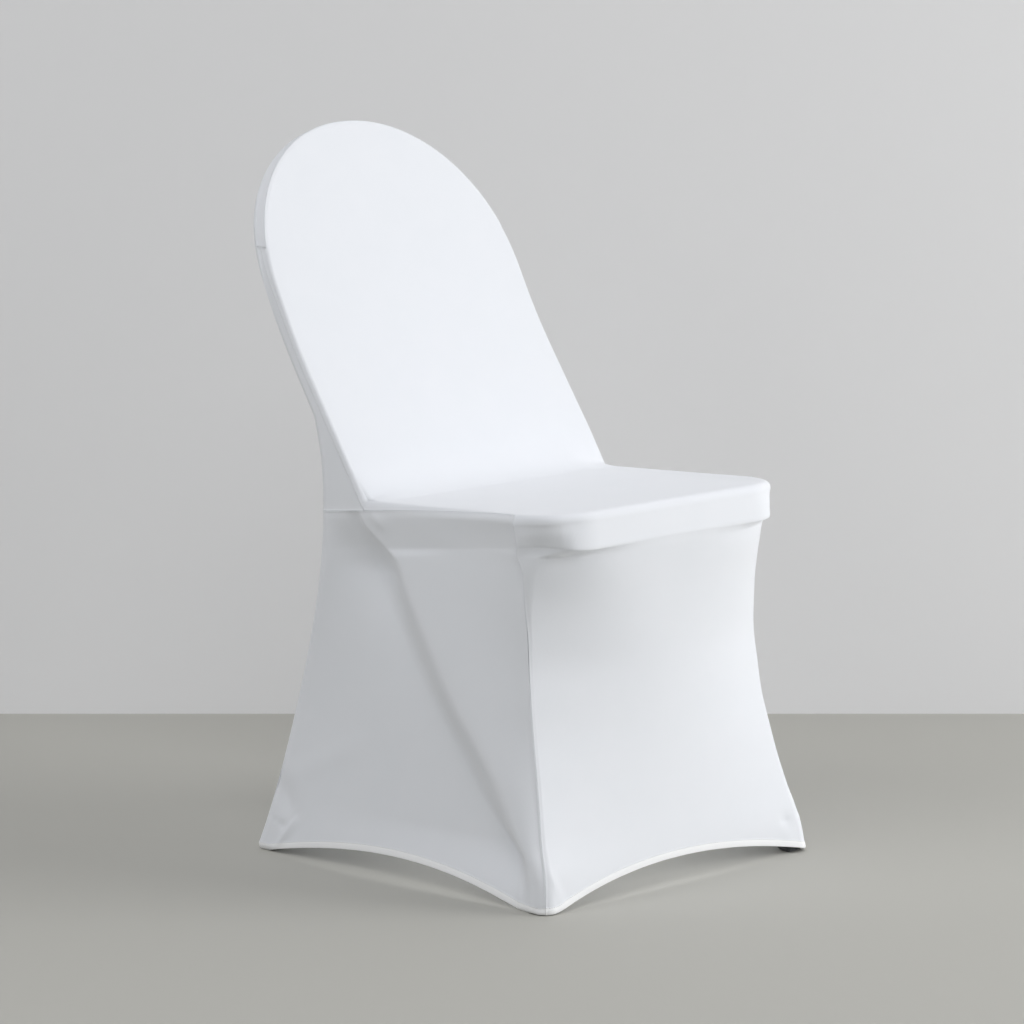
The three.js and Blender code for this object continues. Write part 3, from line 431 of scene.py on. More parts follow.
def back_rows(z):
    """Rows of the backrest at these heights: flat, then round its edge to the side seam."""
    length = side_seam_length(z)
    t = across(length)
    wide = half_width(z)
    out, depth = edge_section(past_face(t) * length)
    x = np.where(np.abs(t) > 1, wide + out, (wide - FRONT_ROUND) * np.abs(t))
    return slab(np.sign(t) * x, z + 0 * x, depth)


def hollow_rows():
    """From seat to backrest: a curve drawn to a knee, soft in the middle and sharp at the seam."""
    length = SEAT_EDGE * (np.pi / 2 - seam_angle(np.full((1, 1), SEAT_BACK_ROW)))
    t = across(length)
    first = straight_seat(t, np.full((1, 1), SEAT_BACK_ROW))
    last = back_rows(np.full((1, 1), HOLLOW_TOP))
    up = mix(np.pi / 2, seam_angle(SEAT_REAR_Y), past_face(t))
    z = SEAT_REAR_Z - SEAT_EDGE * (1 - np.sin(up))
    _, depth = edge_section(past_face(t) * EDGE_BELOW)
    knee = np.stack([(first[..., 0] + last[..., 0]) / 2, face_y(z) + depth, z], axis=-1)
    k = np.linspace(0, 1, HOLLOW_ROWS + 1)[1:, None, None]
    soft = first * (1 - k) ** 2 + knee * 2 * k * (1 - k) + last * k * k
    sharp = np.where(k < 0.5, mix(first, knee, 2 * k), mix(knee, last, 2 * k - 1))
    return mix(soft, sharp, ease(np.abs(t), *SHARPENS)[..., None])


print("hollow:", hollow_rows().shape[0], "rows")

# %% All rows of the front panel
BACKREST_LENGTH, LIP_TOP_ROWS = 292.0, 9


def front_grid():
    """All rows of the front panel, from the hem to the joins beside the top strip."""
    angles = np.linspace(0, 90, LIP_TOP_ROWS + 1)[1:, None]
    over_lip = lip_top(angles, across(np.full((LIP_TOP_ROWS, 1), SEAT_CORNER * math.radians(LIP_TURNS[-1]))))
    shares = steps(BACKREST_LENGTH, spacing=4.4, fine_end=EDGE_STEPS)[1:]
    up = mix(HOLLOW_TOP, JOIN_Z, shares)
    seat = np.concatenate([over_lip, seat_rows()])
    return np.concatenate([front_skirt(), lip_side(), lean_lip(seat), hollow_rows(), back_rows(up)])


front_rows = front_grid()
print("front panel:", front_rows.shape[0], "rows of", front_rows.shape[1])

# %% Round top
# Its rays run from the middle of the join line. The join meets the outline at JOIN_ANGLE.
ARCH_RAYS, RIM_TURNS_OVER = 150, 45.0
JOIN_SHARE = (JOIN_Z - ARCH_Z) / ARCH_RZ
JOIN_ANGLE = math.atan2(JOIN_SHARE, (1 - JOIN_SHARE**ARCH_POWER) ** (1 / ARCH_POWER))
RAY_ANGLES = np.linspace(JOIN_ANGLE, np.pi - JOIN_ANGLE, ARCH_RAYS + 1)[:, None]


def arch_rim(angle):
    """The round top's outline and the direction out of it, by the angle up from level. At the join
    the direction is level, as the backrest's is, and it turns up over the first RIM_TURNS_OVER."""
    c, s = np.cos(angle), np.sin(angle)
    size = (np.abs(c) ** ARCH_POWER + s**ARCH_POWER) ** (-1 / ARCH_POWER)
    x, z = ARCH_RX * c * size, ARCH_Z + ARCH_RZ * s * size
    rise = s / ARCH_RZ * ease(z, JOIN_Z, JOIN_Z + RIM_TURNS_OVER)
    return x, z, unit(np.stack(np.broadcast_arrays(c / ARCH_RX, rise), axis=-1))


def arch_fan(rounding, depth, out, deep):
    """Rays from the middle of the join line to the rim, then round the edge by these sections."""
    x, z, way = arch_rim(RAY_ANGLES)
    r = np.linspace(0, 1, FACE_COLUMNS + 1)[None, :]
    face_x = (x - rounding * way[..., 0]) * r
    face_z = mix(JOIN_Z, z - rounding * way[..., 1], r)
    face = slab(face_x, face_z, depth + 0 * face_x)
    edge = slab(x + out * way[..., 0], z + out * way[..., 1], deep + 0 * x)
    return np.concatenate([face, edge], axis=1)


def front_fan():
    """The front panel's part of the round top, to the top strip's seam."""
    length = EDGE_AT_STRIP - (NEAR_SEAM[0] + TO_STRIP * SPREAD)
    out, deep = edge_section(length[None, :])
    return arch_fan(FRONT_ROUND, 0.0, out, deep)


front_rays = front_fan()
print("round top:", front_rays.shape[0], "rays of", front_rays.shape[1])

# %% [markdown]
# ## The back panel
# One piece from hem to round top. Below the seat it only spans from leg to leg, so it runs forward
# towards the seat and back again. Above, it lies on the backrest. It could be two grids, but both
# parts are sections of one changing corner, so one grid runs up to the fan of the round top.

# %% Back panel
SKIRT_REAR = 366.0


def back_grid():
    """Rows from the hem to the joins: the rear corner's section at each height."""
    height = JOIN_Z * steps(JOIN_Z, spacing=4.4, fine=HEM_STEPS)
    t = across(wrap_length(rear_row(height)))
    at_floor, _ = section(rear_row(np.zeros_like(t)), t)
    rise = hem_height("rear", at_floor / at_floor.max())
    z = height + rise * np.maximum(1 - height / SKIRT_REAR, 0)
    x, y = section(rear_row(z), t)
    return np.stack([x, y, z], axis=-1)


def back_fan():
    """The back panel's part of the round top: rays, then a quarter arc to the seam."""
    angle = wrap_shares(np.full((1, 1), REAR_ROUND * np.pi / 2)) * np.pi / 2
    out = -REAR_ROUND * (1 - np.sin(angle))
    return arch_fan(REAR_ROUND, BACK_DEPTH, out, BACK_DEPTH - REAR_ROUND * (1 - np.cos(angle)))


rear_rows = back_grid()
rear_rays = back_fan()
print("back panel:", rear_rows.shape[0], "rows of", rear_rows.shape[1])

# %% [markdown]
# ## The strip over the top
# A narrow band of cloth joins the two round ends. It could be a plain band bent to an arch, but its
# section rolls over at the front. So that section is carried along the round outline, and it ends
# at a short seam on either side.

# %% Top strip
REAR_SEAM = FRONT_ROUND * np.pi / 2 + BACK_DEPTH - FRONT_ROUND - REAR_ROUND
STRIP_WIDE = 15.2


def strip_grid():
    """The edge's section from the strip's seam to the rear seam, carried along the outline."""
    shares = steps(STRIP_WIDE, spacing=1.4, fine=EDGE_STEPS, fine_end=EDGE_STEPS).T
    length = mix(STRIP_SEAM, REAR_SEAM, shares)
    out, deep = edge_section(length)
    x, z, way = arch_rim(RAY_ANGLES)
    return slab(x + out * way[..., 0], z + out * way[..., 1], deep + 0 * x)


strip_rows = strip_grid()
print("strip length:", round(float(np.linalg.norm(np.diff(strip_rows[:, 5], axis=0), axis=-1).sum())), "mm")

# %% [markdown]
# ## The side panels
# Each side is two pieces. The upper one fills the wedge behind the backrest's edge. The lower one
# is a band round the seat and a skirt. A leg's tube draws a slanting ridge across it, and behind the
# ridge the cloth falls in. The ridge could be pressed into a plain side afterwards, but it's as wide
# as the panel, so it is part of the section at every height.

# %% Upper side panel
# Heights of the upper panel's lower corners at the rear and at the front, and its length.
REAR_TOP_Z, CORNER_Z, UPPER_LENGTH = 418.9, 427.25, 350.0
UPPER_SHARES = np.concatenate([
    [0, 0.008, 0.02, 0.04, 0.07],
    np.linspace(0.11, 0.89, 24),
    [0.93, 0.96, 0.98, 0.992, 1],
])


def upper_section(z, share):
    """From the backrest's edge straight back, then round the rear corner's arc to its seam."""
    rear = corner(rear_row(z))
    _, depth = edge_section(side_seam_length(z))
    start = face_y(z) + depth
    straight = rear["cy"] - start
    length = share * (straight + rear["radius"] * (np.pi / 2 - rear["seam"]))
    angle = np.pi / 2 - np.maximum(length - straight, 0) / rear["radius"]
    on_arc = length > straight
    x = mix(half_width(z), rear["x"], np.clip(length / straight, 0, 1))
    x = np.where(on_arc, rear["cx"] + rear["radius"] * np.sin(angle), x)
    return x, np.where(on_arc, rear["cy"] + rear["radius"] * np.cos(angle), start + length)


def pull_onto(grid, seam, last, over):
    """Moves a grid's first or last column level onto a seam's line, and the columns beside it less
    and less: by (1 - u)^2 of the share u of this many columns."""
    column = -1 if last else 0
    fade = np.clip(1 - np.arange(grid.shape[1]) / over, 0, 1) ** 2
    fade = fade[::-1] if last else fade
    miss = [np.interp(grid[:, column, 2], seam[:, 2], seam[:, i]) - grid[:, column, i] for i in (0, 1)]
    grid[..., :2] += np.stack(miss, axis=-1)[:, None] * fade[:, None]


def upper_grid(seam):
    """The upper panel of the +X side. Its first column is pulled onto the front seam."""
    shares = steps(UPPER_LENGTH, spacing=4.4, fine=EDGE_STEPS, fine_end=EDGE_STEPS)
    front_z = mix(CORNER_Z, JOIN_Z, shares)
    down = (REAR_TOP_Z - CORNER_Z) * np.clip(1 - (front_z - CORNER_Z) / (ARCH_Z - CORNER_Z), 0, 1)
    z = front_z + down * UPPER_SHARES
    x, y = upper_section(z, UPPER_SHARES)
    grid = np.stack([x, y, z], axis=-1)
    pull_onto(grid, seam, last=False, over=8)
    return grid


front_seam = front_rows[:, -1]
corner_row = int(np.argmin(np.where(front_seam[:, 1] > 0, front_seam[:, 2], 1e4)))
print("the side seam turns up at", np.round(front_seam[corner_row], 1))
upper_side = upper_grid(front_seam[corner_row:])

# %% The line of the fall
# The tube's y at the floor, and how far it runs to the rear for each millimetre up.
TUBE_Y, TUBE_LEAN = -223.0, 0.715
# How wide the fall is, and the heights between which it widens and then narrows again.
FALL_NARROW, FALL_BROAD, WIDENS, NARROWS = 32.0, 78.0, (10.0, 150.0), (350.0, 430.0)
# How far its line leaves the tube's: forward near the pocket, back at mid height and by the band.
DRAWN, DRAWN_AT, DRAWN_OVER = 9.0, 50.0, 38.0
PUSHED, PUSH_STARTS, PUSH_ENDS = 14.0, (130.0, 240.0), (330.0, 400.0)
BENT, BENDS = 12.0, (368.0, 415.0)


def fall_line(z):
    """The fall behind the tube's crest: its middle and its width. It is broad where the cloth spans
    freely. Near the foot the pocket draws it forward, and by the band it bends to the seat's rear."""
    drawn = DRAWN * bell(z - DRAWN_AT, DRAWN_OVER)
    pushed = PUSHED * ease(z, *PUSH_STARTS) * (1 - ease(z, *PUSH_ENDS)) + BENT * ease(z, *BENDS)
    wide = mix(FALL_NARROW, FALL_BROAD, ease(z, *WIDENS) * (1 - ease(z, *NARROWS)))
    return TUBE_Y + TUBE_LEAN * z - drawn + pushed, wide


half_way, its_width = fall_line(np.array(SEAT_REAR_Z / 2))
print("half way up, the fall lies at y", round(float(half_way)), "and is", round(float(its_width)), "mm wide")

# %% The side's section
# How far out the tube is at the floor. How deep the fall is, and its shares at floor and band.
TUBE_FOOT_X = 230.0
FALL, FALL_AT_FLOOR, DEEPENS = 28.0, 0.2, (0.0, 70.0)
FALL_AT_BAND, SHALLOWS = 0.28, (350.0, 415.0)
# The crest and the fall's foot stay this far from the corners' arcs. The bow ahead of the crest is no
# shorter than LEAST_RUN, and the front corner's arc turns by LEAST_TURN radians at least.
CREST_CLEAR, FOOT_CLEAR, LEAST_RUN, LEAST_TURN = 6.0, 14.0, 4.0, 0.1


def side_lines(z):
    """The side's two lines: a bow from the front corner's arc to the tube's crest, and a straight
    from the foot of the fall to the rear corner's arc. The angles at which they leave the one arc
    and meet the other are found in a few rounds."""
    front, rear = corner(front_row(z)), corner(rear_row(z))
    share = z / SEAT_REAR_Z
    line, wide = fall_line(z)
    crest_x = mix(TUBE_FOOT_X, SIDE_X, share)
    crest_y = np.maximum(line - wide / 2, CREST_CLEAR - front["cy"])
    fall = FALL * mix(1, FALL_AT_BAND, ease(z, *SHALLOWS)) * mix(FALL_AT_FLOOR, 1, ease(z, *DEEPENS))
    foot_x, foot_y = crest_x - fall, np.minimum(crest_y + wide, rear["cy"] - FOOT_CLEAR)
    wide = foot_y - crest_y
    leave = meet = np.zeros_like(z)
    for _ in range(6):
        start_x = front["cx"] + front["radius"] * np.cos(leave)
        start_y = -front["cy"] - front["radius"] * np.sin(leave)
        end_x = rear["cx"] + rear["radius"] * np.cos(meet)
        end_y = rear["cy"] + rear["radius"] * np.sin(meet)
        leave = np.arctan(2 * (crest_x - start_x) / np.maximum(crest_y - start_y, LEAST_RUN))
        leave = np.minimum(leave, np.pi / 2 - front["seam"] - LEAST_TURN)
        meet = np.arctan((foot_x - end_x) / (end_y - foot_y))
    return dict(front=front, rear=rear, leave=leave, meet=meet, start_x=start_x, start_y=start_y,
                end_y=end_y, crest_x=crest_x, crest_y=crest_y, foot_x=foot_x, foot_y=foot_y, wide=wide)


def side_x(side, y):
    """How far out the side is between its corners' arcs: crest - rise * u^2 ahead of the crest, and
    through the fall it eases from the crest to the straight behind it."""
    away = np.clip((side["crest_y"] - y) / np.maximum(side["crest_y"] - side["start_y"], LEAST_RUN), 0, 1)
    ahead = side["crest_x"] - (side["crest_x"] - side["start_x"]) * away**2
    behind = side["foot_x"] - np.tan(side["meet"]) * (y - side["foot_y"])
    return mix(ahead, behind, ease(y, side["crest_y"], side["foot_y"]))


def side_section(z, s):
    """The side's section. s runs from 0 to 5 over the front corner's arc, a bow to the tube's crest,
    the fall behind it, a straight and the rear corner's arc."""
    side = side_lines(z)
    front, rear = side["front"], side["rear"]
    part = [np.clip(s - i, 0, 1) for i in range(5)]
    y = side["start_y"] + (side["crest_y"] - side["start_y"]) * part[1]
    y = y + side["wide"] * part[2] + (side["end_y"] - side["foot_y"]) * part[3]
    x = side_x(side, y)
    turn = mix(front["seam"], np.pi / 2 - side["leave"], part[0])
    x = np.where(s < 1, front["cx"] + front["radius"] * np.sin(turn), x)
    y = np.where(s < 1, -front["cy"] - front["radius"] * np.cos(turn), y)
    turn = mix(np.pi / 2 - side["meet"], rear["seam"], part[4])
    x = np.where(s > 4, rear["cx"] + rear["radius"] * np.sin(turn), x)
    return x, np.where(s > 4, rear["cy"] + rear["radius"] * np.cos(turn), y)


low_side = side_lines(np.array([100.0]))
print("crest 100 mm up: x", np.round(low_side["crest_x"], 1), "y", np.round(low_side["crest_y"], 1))

# %% The band round the seat's side
# Height of its lower edge: at most, at y = 0, and its slope. Then how far the cloth draws in there,
# how far below and above that starts, and the y where it ends.
BAND_HIGH, BAND_MIDDLE, BAND_SLOPE = 409.0, 390.4, 0.1135
TUCK, TUCK_BELOW, TUCK_ABOVE, TUCK_ENDS = 5.0, 220.0, 36.0, 220.0


def band_bottom(y):
    """Height of the lower edge of the band round the seat's side."""
    return np.minimum(BAND_HIGH, BAND_MIDDLE - BAND_SLOPE * y)


def band_tuck(y, z):
    """How far the side draws in round the band's lower edge: by the square of the way up to it from
    below, and straight out again above it. It fades towards the rear."""
    up = z - band_bottom(y)
    below = np.clip(1 + up / TUCK_BELOW, 0, 1) ** 2
    return TUCK * (1 - ease(y, 0, TUCK_ENDS)) * np.minimum(below, np.clip(1 - up / TUCK_ABOVE, 0, 1))


print("the band's lower edge is", round(float(band_bottom(0.0))), "mm up in the middle of the side")

# %% Rows of the lower side panel
# How far the top row's outer columns keep from the seam's ends, and the lengths of skirt and band.
TOP_START, TOP_END, SIDE_LENGTH, BAND_TALL = 6.0, 10.0, 390.0, 40.0
# Columns by the section's five parts, close together at the seams and at the rear foot's creases.
SIDE_S = np.concatenate([
    [0, 0.05, 0.12, 0.22, 0.36, 0.52, 0.7, 0.86],
    np.linspace(1, 2, 19)[:-1],
    np.linspace(2, 3, 19)[:-1],
    np.linspace(3, 3.76, 28)[:-1],
    np.linspace(3.76, 4, 41)[:-1],
    [4, 4.15, 4.3, 4.45, 4.6, 4.72, 4.82, 4.9, 4.96, 5],
])[None, :]


def side_top(seam, upper_row):
    """The line that the lower panel is sewn to above, as one point for each column."""
    line = np.concatenate([seam[: corner_row - lip_row], upper_row])
    first, back = line[0, 1], line[-1, 1]
    knots = [first, first + TOP_START, SEAT_BACK_ROW, upper_row[0, 1], back - TOP_END, back]
    y = np.interp(SIDE_S[0], range(6), knots)
    return np.stack([np.interp(y, line[:, 1], line[:, 0]), y, np.interp(y, line[:, 1], line[:, 2])], axis=-1)


def side_skirt(top_y):
    """Rows from the hem to SKIRT_TOP at the front and SKIRT_REAR at the rear."""
    _, at_floor = side_section(np.zeros_like(SIDE_S), SIDE_S)
    middle = (at_floor[0, 0] + at_floor[0, -1]) / 2
    low = hem_height("side", (at_floor - middle) / (at_floor[0, -1] - middle))
    high = mix(SKIRT_TOP, SKIRT_REAR, (top_y - top_y[0]) / (top_y[-1] - top_y[0]))
    z = mix(low, high, steps(SIDE_LENGTH, spacing=3.8, fine=HEM_STEPS))
    x, y = side_section(z, SIDE_S)
    return np.stack([x - band_tuck(y, z), y, z], axis=-1)


def side_band(foot, top):
    """Rows from the skirt's last row to the band's lower edge, then up the band and over the seat's
    edge to the seam. They ease from the skirt's columns to those of the line above, and what still
    misses it is made up by the square of the way there."""
    band_rows = 1 + steps(BAND_TALL, spacing=2.2, fine_end=EDGE_STEPS)
    r = np.concatenate([np.linspace(0, 1, 6)[1:-1, None], band_rows])
    y = mix(foot[:, 1], top[:, 1], r / 2)
    bottom = band_bottom(y)
    straight = np.maximum(np.minimum(seat_top(y) - SEAT_EDGE, top[:, 2]) - bottom, 0)
    length = np.clip(r - 1, 0, 1) * (straight + SEAT_EDGE * seam_angle(y))
    angle = np.maximum(length - straight, 0) / SEAT_EDGE
    z = mix(foot[:, 2], bottom, np.minimum(r, 1)) + np.minimum(length, straight) + SEAT_EDGE * np.sin(angle)
    plain, _ = side_section(z, SIDE_S)
    own = side_x(side_lines(z), y)
    first, last = int(np.argmax(SIDE_S >= 1)), int(np.argmax(SIDE_S >= 4))
    x = np.concatenate([plain[:, :first] + (own - plain)[:, [first]], own[:, first:last],
                        plain[:, last:] + (own - plain)[:, [last]]], axis=1)
    x = mix(x, np.minimum(x, SIDE_X), ease(r, 0, 1)) - band_tuck(y, z) - SEAT_EDGE * (1 - np.cos(angle))
    band = np.stack([x, y, z], axis=-1)
    return band + (top - band[-1]) * np.clip(r - 1, 0, 1)[..., None] ** 2


print("columns of the lower side panel:", SIDE_S.size)

# %% Lower side panel
def lower_grid(seam, upper_row):
    """The lower panel of the +X side: skirt rows, then band rows up to the seam along the seat."""
    top = side_top(seam, upper_row)
    skirt = side_skirt(top[:, 1])
    grid = np.concatenate([skirt, side_band(skirt[-1], top)])
    pull_onto(grid, skirt_seam, last=False, over=12)
    pull_onto(grid, rear_seam, last=True, over=8)
    return grid


lip_row = int(np.argmax(np.diff(front_seam[:, 2]) < 0))
skirt_seam = front_seam[: lip_row + 1]
rear_seam = rear_rows[:, -1]
lower_side = lower_grid(front_seam[lip_row:], upper_side[0])
print("lower side:", lower_side.shape[0], "rows of", lower_side.shape[1])

# %% [markdown]
# ## From grids to cloth
# A panel's grids are welded where they meet, then the outer face is moved along its own normals to
# press in the seams, raise the hem and lay the folds. A second face inside it and a rim close it,
# so it's a real sheet of cloth with two sides. A Solidify modifier could give the thickness, but
# the rim is made here, so that it stays flat and keeps its place on the cloth's map.

# %% Faces, lengths and normals
def grid_faces(points, start):
    """Four corners of every cell of a grid, counted from start."""
    rows, columns = points.shape[:2]
    index = start + np.arange(rows * columns).reshape(rows, columns)
    cells = [index[:-1, :-1], index[:-1, 1:], index[1:, 1:], index[1:, :-1]]
    return np.stack([corner_index.ravel() for corner_index in cells], axis=-1)


def reach(points, axis, backwards=False):
    """Length along a grid's lines from its first border, or from its last."""
    step = np.linalg.norm(np.diff(points, axis=axis), axis=-1)
    step = np.flip(step, axis) if backwards else step
    total = np.concatenate([np.zeros_like(np.take(step, [0], axis)), np.cumsum(step, axis)], axis)
    return np.flip(total, axis) if backwards else total


def weld(points, faces):
    """Merges points that agree to a thousandth of a millimetre. Gives which to keep, and the faces."""
    _, keep, merged = np.unique(np.round(points, 3), axis=0, return_index=True, return_inverse=True)
    return keep, merged.ravel()[faces]


def face_normals(points, faces):
    """Each face's normal, as long as twice its area, from its two diagonals."""
    a, b, c, d = (points[faces[:, i]] for i in range(4))
    return np.cross(c - a, d - b)


def vertex_normals(points, faces):
    """Area-weighted mean of the normals of the faces round each point."""
    normal = face_normals(points, faces)
    total = np.zeros_like(points)
    for i in range(4):
        np.add.at(total, faces[:, i], normal)
    return unit(total)


def border_edges(faces):
    """Directed edges that only one face has."""
    start, end = faces.ravel(), np.roll(faces, -1, axis=1).ravel()
    keep = start != end
    start, end = start[keep], end[keep]
    size = int(faces.max()) + 1
    lonely = ~np.isin(start * size + end, end * size + start)
    return start[lonely], end[lonely]


print("cells of the front panel's rows:", len(grid_faces(front_rows, 0)))

# %% How far seams and the hem lift the cloth
SEAM_RIDGE, RIDGE_WIDE, SEAM_GROOVE, GROOVE_WIDE = 0.95, 1.25, 0.4, 0.4
# The hem: its width and lift, how far its two edges ease, and the stitched line in it.
HEM_WIDE, HEM_RAISE, HEM_STARTS, HEM_EASES = 9.0, 0.55, (-0.6, 1.2), 0.6
STITCH_DIP, STITCH_BELOW, STITCH_WIDE, MARK_FADES = 0.5, 1.2, 0.8, 1.6


def seam_lift(distance):
    """A sewn seam: its turned-in edges raise the cloth in a bell-shaped ridge, and the stitched line
    on the seam itself is a finer bell-shaped groove."""
    return SEAM_RIDGE * bell(distance, RIDGE_WIDE) - SEAM_GROOVE * bell(distance, GROOVE_WIDE)


def hem_lift(distance):
    """A folded hem: raised over its width, with a stitched line that presses in near its top."""
    raised = HEM_RAISE * (1 - ease(distance, HEM_WIDE - HEM_EASES, HEM_WIDE + HEM_EASES))
    line = STITCH_DIP * bell(distance - HEM_WIDE + STITCH_BELOW, STITCH_WIDE)
    return raised * ease(distance, *HEM_STARTS) - line


def hem_mark(distance):
    """1 on the folded hem and 0 above it."""
    return 1 - ease(distance, HEM_WIDE - MARK_FADES, HEM_WIDE)


print("highest lift of a seam:", round(float(seam_lift(np.linspace(0, RIDGE_WIDE, 50)).max()), 2), "mm")

# %% Close a sheet and make its mesh
# The cloth's thickness, and from the feet's middle to the model's own origin.
CLOTH, SHIFT_Y = 1.1, -44.7126


def add_mesh(name, points, faces, rim_from, uv, hem):
    """A mesh in metres from points in the chair's millimetres. Faces from rim_from on stay flat. A
    face with a corner that repeats becomes a triangle."""
    repeated = faces == np.roll(faces, -1, axis=1)
    ends = np.where(repeated.any(axis=1), 3, 4)
    kept = ~repeated
    loops, loop_uv = faces[kept], uv[kept]
    mesh = bpy.data.meshes.new(name)
    mesh.vertices.add(len(points))
    mesh.loops.add(len(loops))
    mesh.polygons.add(len(faces))
    mesh.vertices.foreach_set("co", ((points + (0, SHIFT_Y, 0)) * MM).ravel())
    mesh.polygons.foreach_set("loop_start", np.concatenate([[0], np.cumsum(ends)[:-1]]))
    mesh.loops.foreach_set("vertex_index", loops)
    mesh.polygons.foreach_set("use_smooth", np.arange(len(faces)) < rim_from)
    mesh.uv_layers.new(name="cloth").data.foreach_set("uv", (loop_uv * MM).ravel())
    mesh.attributes.new("hem", "FLOAT", "POINT").data.foreach_set("value", hem)
    mesh.update(calc_edges=True)
    mesh.validate()
    piece = bpy.data.objects.new(name, mesh)
    bpy.context.scene.collection.objects.link(piece)
    return piece


def close_sheet(name, outer, faces, normals, uv, hem):
    """Adds the inner face and the rim to an outer face, and makes the mesh."""
    first, second = border_edges(faces)
    count = len(outer)
    inner = outer - CLOTH * normals
    back = faces[:, ::-1] + count
    rim = np.stack([second, first, first + count, second + count], axis=-1)
    place = np.zeros((count, 2))
    place[faces.ravel()] = uv.reshape(-1, 2)
    rim_uv = np.stack([place[i] for i in (second, first, first, second)], axis=1)
    all_uv = np.concatenate([uv, uv[:, ::-1], rim_uv])
    sides = np.concatenate([faces, back, rim])
    return add_mesh(name, np.concatenate([outer, inner]), sides, 2 * len(faces), all_uv, np.tile(hem, 2))


print("cloth", CLOTH, "mm thick, and the model's y is the feet's y", SHIFT_Y, "mm")

# %% Make a panel from its patches
DRAW_BACK = 0.03


def draw_back(outer, normals, faces):
    """Moves a panel's border in by DRAW_BACK, so that neighbours lie a little apart."""
    first, second = border_edges(faces)
    way = unit(outer[second] - outer[first])
    inward = np.zeros_like(outer)
    np.add.at(inward, first, np.cross(normals[first], way))
    np.add.at(inward, second, np.cross(normals[second], way))
    return outer + inward * DRAW_BACK / np.maximum((inward**2).sum(axis=1, keepdims=True) / 2, 1)


def panel(name, patches, side=1, folds=()):
    """Makes a panel from patches. Each patch is a grid with the lift and the hem mark of its
    points and their place on the flat cloth. A side of -1 mirrors it to the chair's other side."""
    points = np.concatenate([p["grid"].reshape(-1, 3) for p in patches])
    lift = np.concatenate([p["lift"].ravel() for p in patches])
    mark = np.concatenate([p["hem"].ravel() for p in patches])
    flat = np.concatenate([p["flat"].reshape(-1, 2) for p in patches])
    starts = np.cumsum([0] + [p["lift"].size for p in patches])
    faces = np.concatenate([grid_faces(p["grid"], start) for p, start in zip(patches, starts)])
    if side < 0:
        points, flat = points * (-1, 1, 1), flat * (-1, 1)
    if side * patches[0]["turned"] < 0:
        faces = faces[:, ::-1]
    uv = flat[faces]
    keep, faces = weld(points, faces)
    points, lift, mark = points[keep], lift[keep], mark[keep]
    whole = (faces == np.roll(faces, -1, axis=1)).sum(axis=1) < 2
    faces, uv = faces[whole], uv[whole]
    normals = vertex_normals(points, faces)
    for fold in folds:
        lift = lift + fold(points)
    outer = draw_back(points + normals * lift[:, None], normals, faces)
    return close_sheet(name, outer, faces, vertex_normals(outer, faces), uv, mark)


def patch(grid, lift, hem=None, flat=None, turned=1):
    """One grid of a panel, with its flat place worked out from lengths along its lines."""
    if flat is None:
        wide = reach(grid, 1)
        wide = wide - wide[:, [wide.shape[1] // 2]]
        flat = np.stack([wide, reach(grid, 0)], axis=-1)
    mark = np.zeros(grid.shape[:2]) if hem is None else hem
    return dict(grid=grid, lift=lift + 0 * mark, hem=mark, flat=flat, turned=turned)


print("borders are drawn back by", DRAW_BACK, "mm")

# %% [markdown]
# ## The cloth
# Stretch knit of polyester and elastane is knitted on fine needles, brushed and heat-set. It is
# matt, a little fuzzy at grazing angles, and even. Its real wales are about 0.4 mm apart, far too
# fine to show, so they're drawn four times as coarse and very shallow. Cloud-like noise makes it
# slightly uneven, as stretched cloth is, and the hem is whiter, because it's two layers thick. The
# pockets are a firm woven twill in dark grey, with ribs drawn about twice as coarse as real ones.
# The dark grey shows only as a dark line under a foot. An image could give the knit, but waves stay
# sharp at any size.

# %% Colours and nodes
def linear(hex_colour):
    """An sRGB hex colour as linear red, green, blue and alpha."""
    channels = [int(hex_colour[i : i + 2], 16) / 255 for i in (1, 3, 5)]
    return (*[c / 12.92 if c <= 0.04045 else ((c + 0.055) / 1.055) ** 2.4 for c in channels], 1)


def node(tree, kind, settings=None, **inputs):
    """Adds a node. Settings are its own properties, and inputs are values or other sockets."""
    made = tree.nodes.new(kind)
    for key, value in (settings or {}).items():
        setattr(made, key, value)
    for key, value in inputs.items():
        socket = made.inputs[int(key[1:])] if key[0] == "_" else made.inputs[key.replace("_", " ")]
        if isinstance(value, bpy.types.NodeSocket):
            tree.links.new(value, socket)
        else:
            socket.default_value = value
    return made


def new_material(name, colour, roughness):
    """A material whose shader has these plain values, ready for more nodes."""
    made = bpy.data.materials.new(name)
    made.use_nodes = True
    shader = made.node_tree.nodes["Principled BSDF"]
    shader.inputs["Base Color"].default_value = linear(colour)
    shader.inputs["Roughness"].default_value = roughness
    return made, made.node_tree, shader


print("white in linear values:", linear("#FFFFFF"))

# %% Stretch knit and pocket twill
# Distances of the knit's wales, of the twill's ribs and of the hem's stitches. Courses lie closer.
WALE_MM, TWILL_MM, STITCH_MM, COURSE_SHARE = 1.6, 1.1, 3.2, 0.8
WAVE_PERIOD, CLOUDS_IN_A_METRE = 0.31416, 22.0
HEM_COLOUR, CLOTH_ROUGHNESS = "#FAFBFC", 0.82
SHADER_VALUES = {"Sheen Weight": 0.25, "Sheen Roughness": 0.5, "Specular IOR Level": 0.25}


def wave_scale(spacing_mm):
    """Scale of a wave texture whose bands are this far apart: its period is 0.314 at scale 1."""
    return WAVE_PERIOD / (spacing_mm * MM)


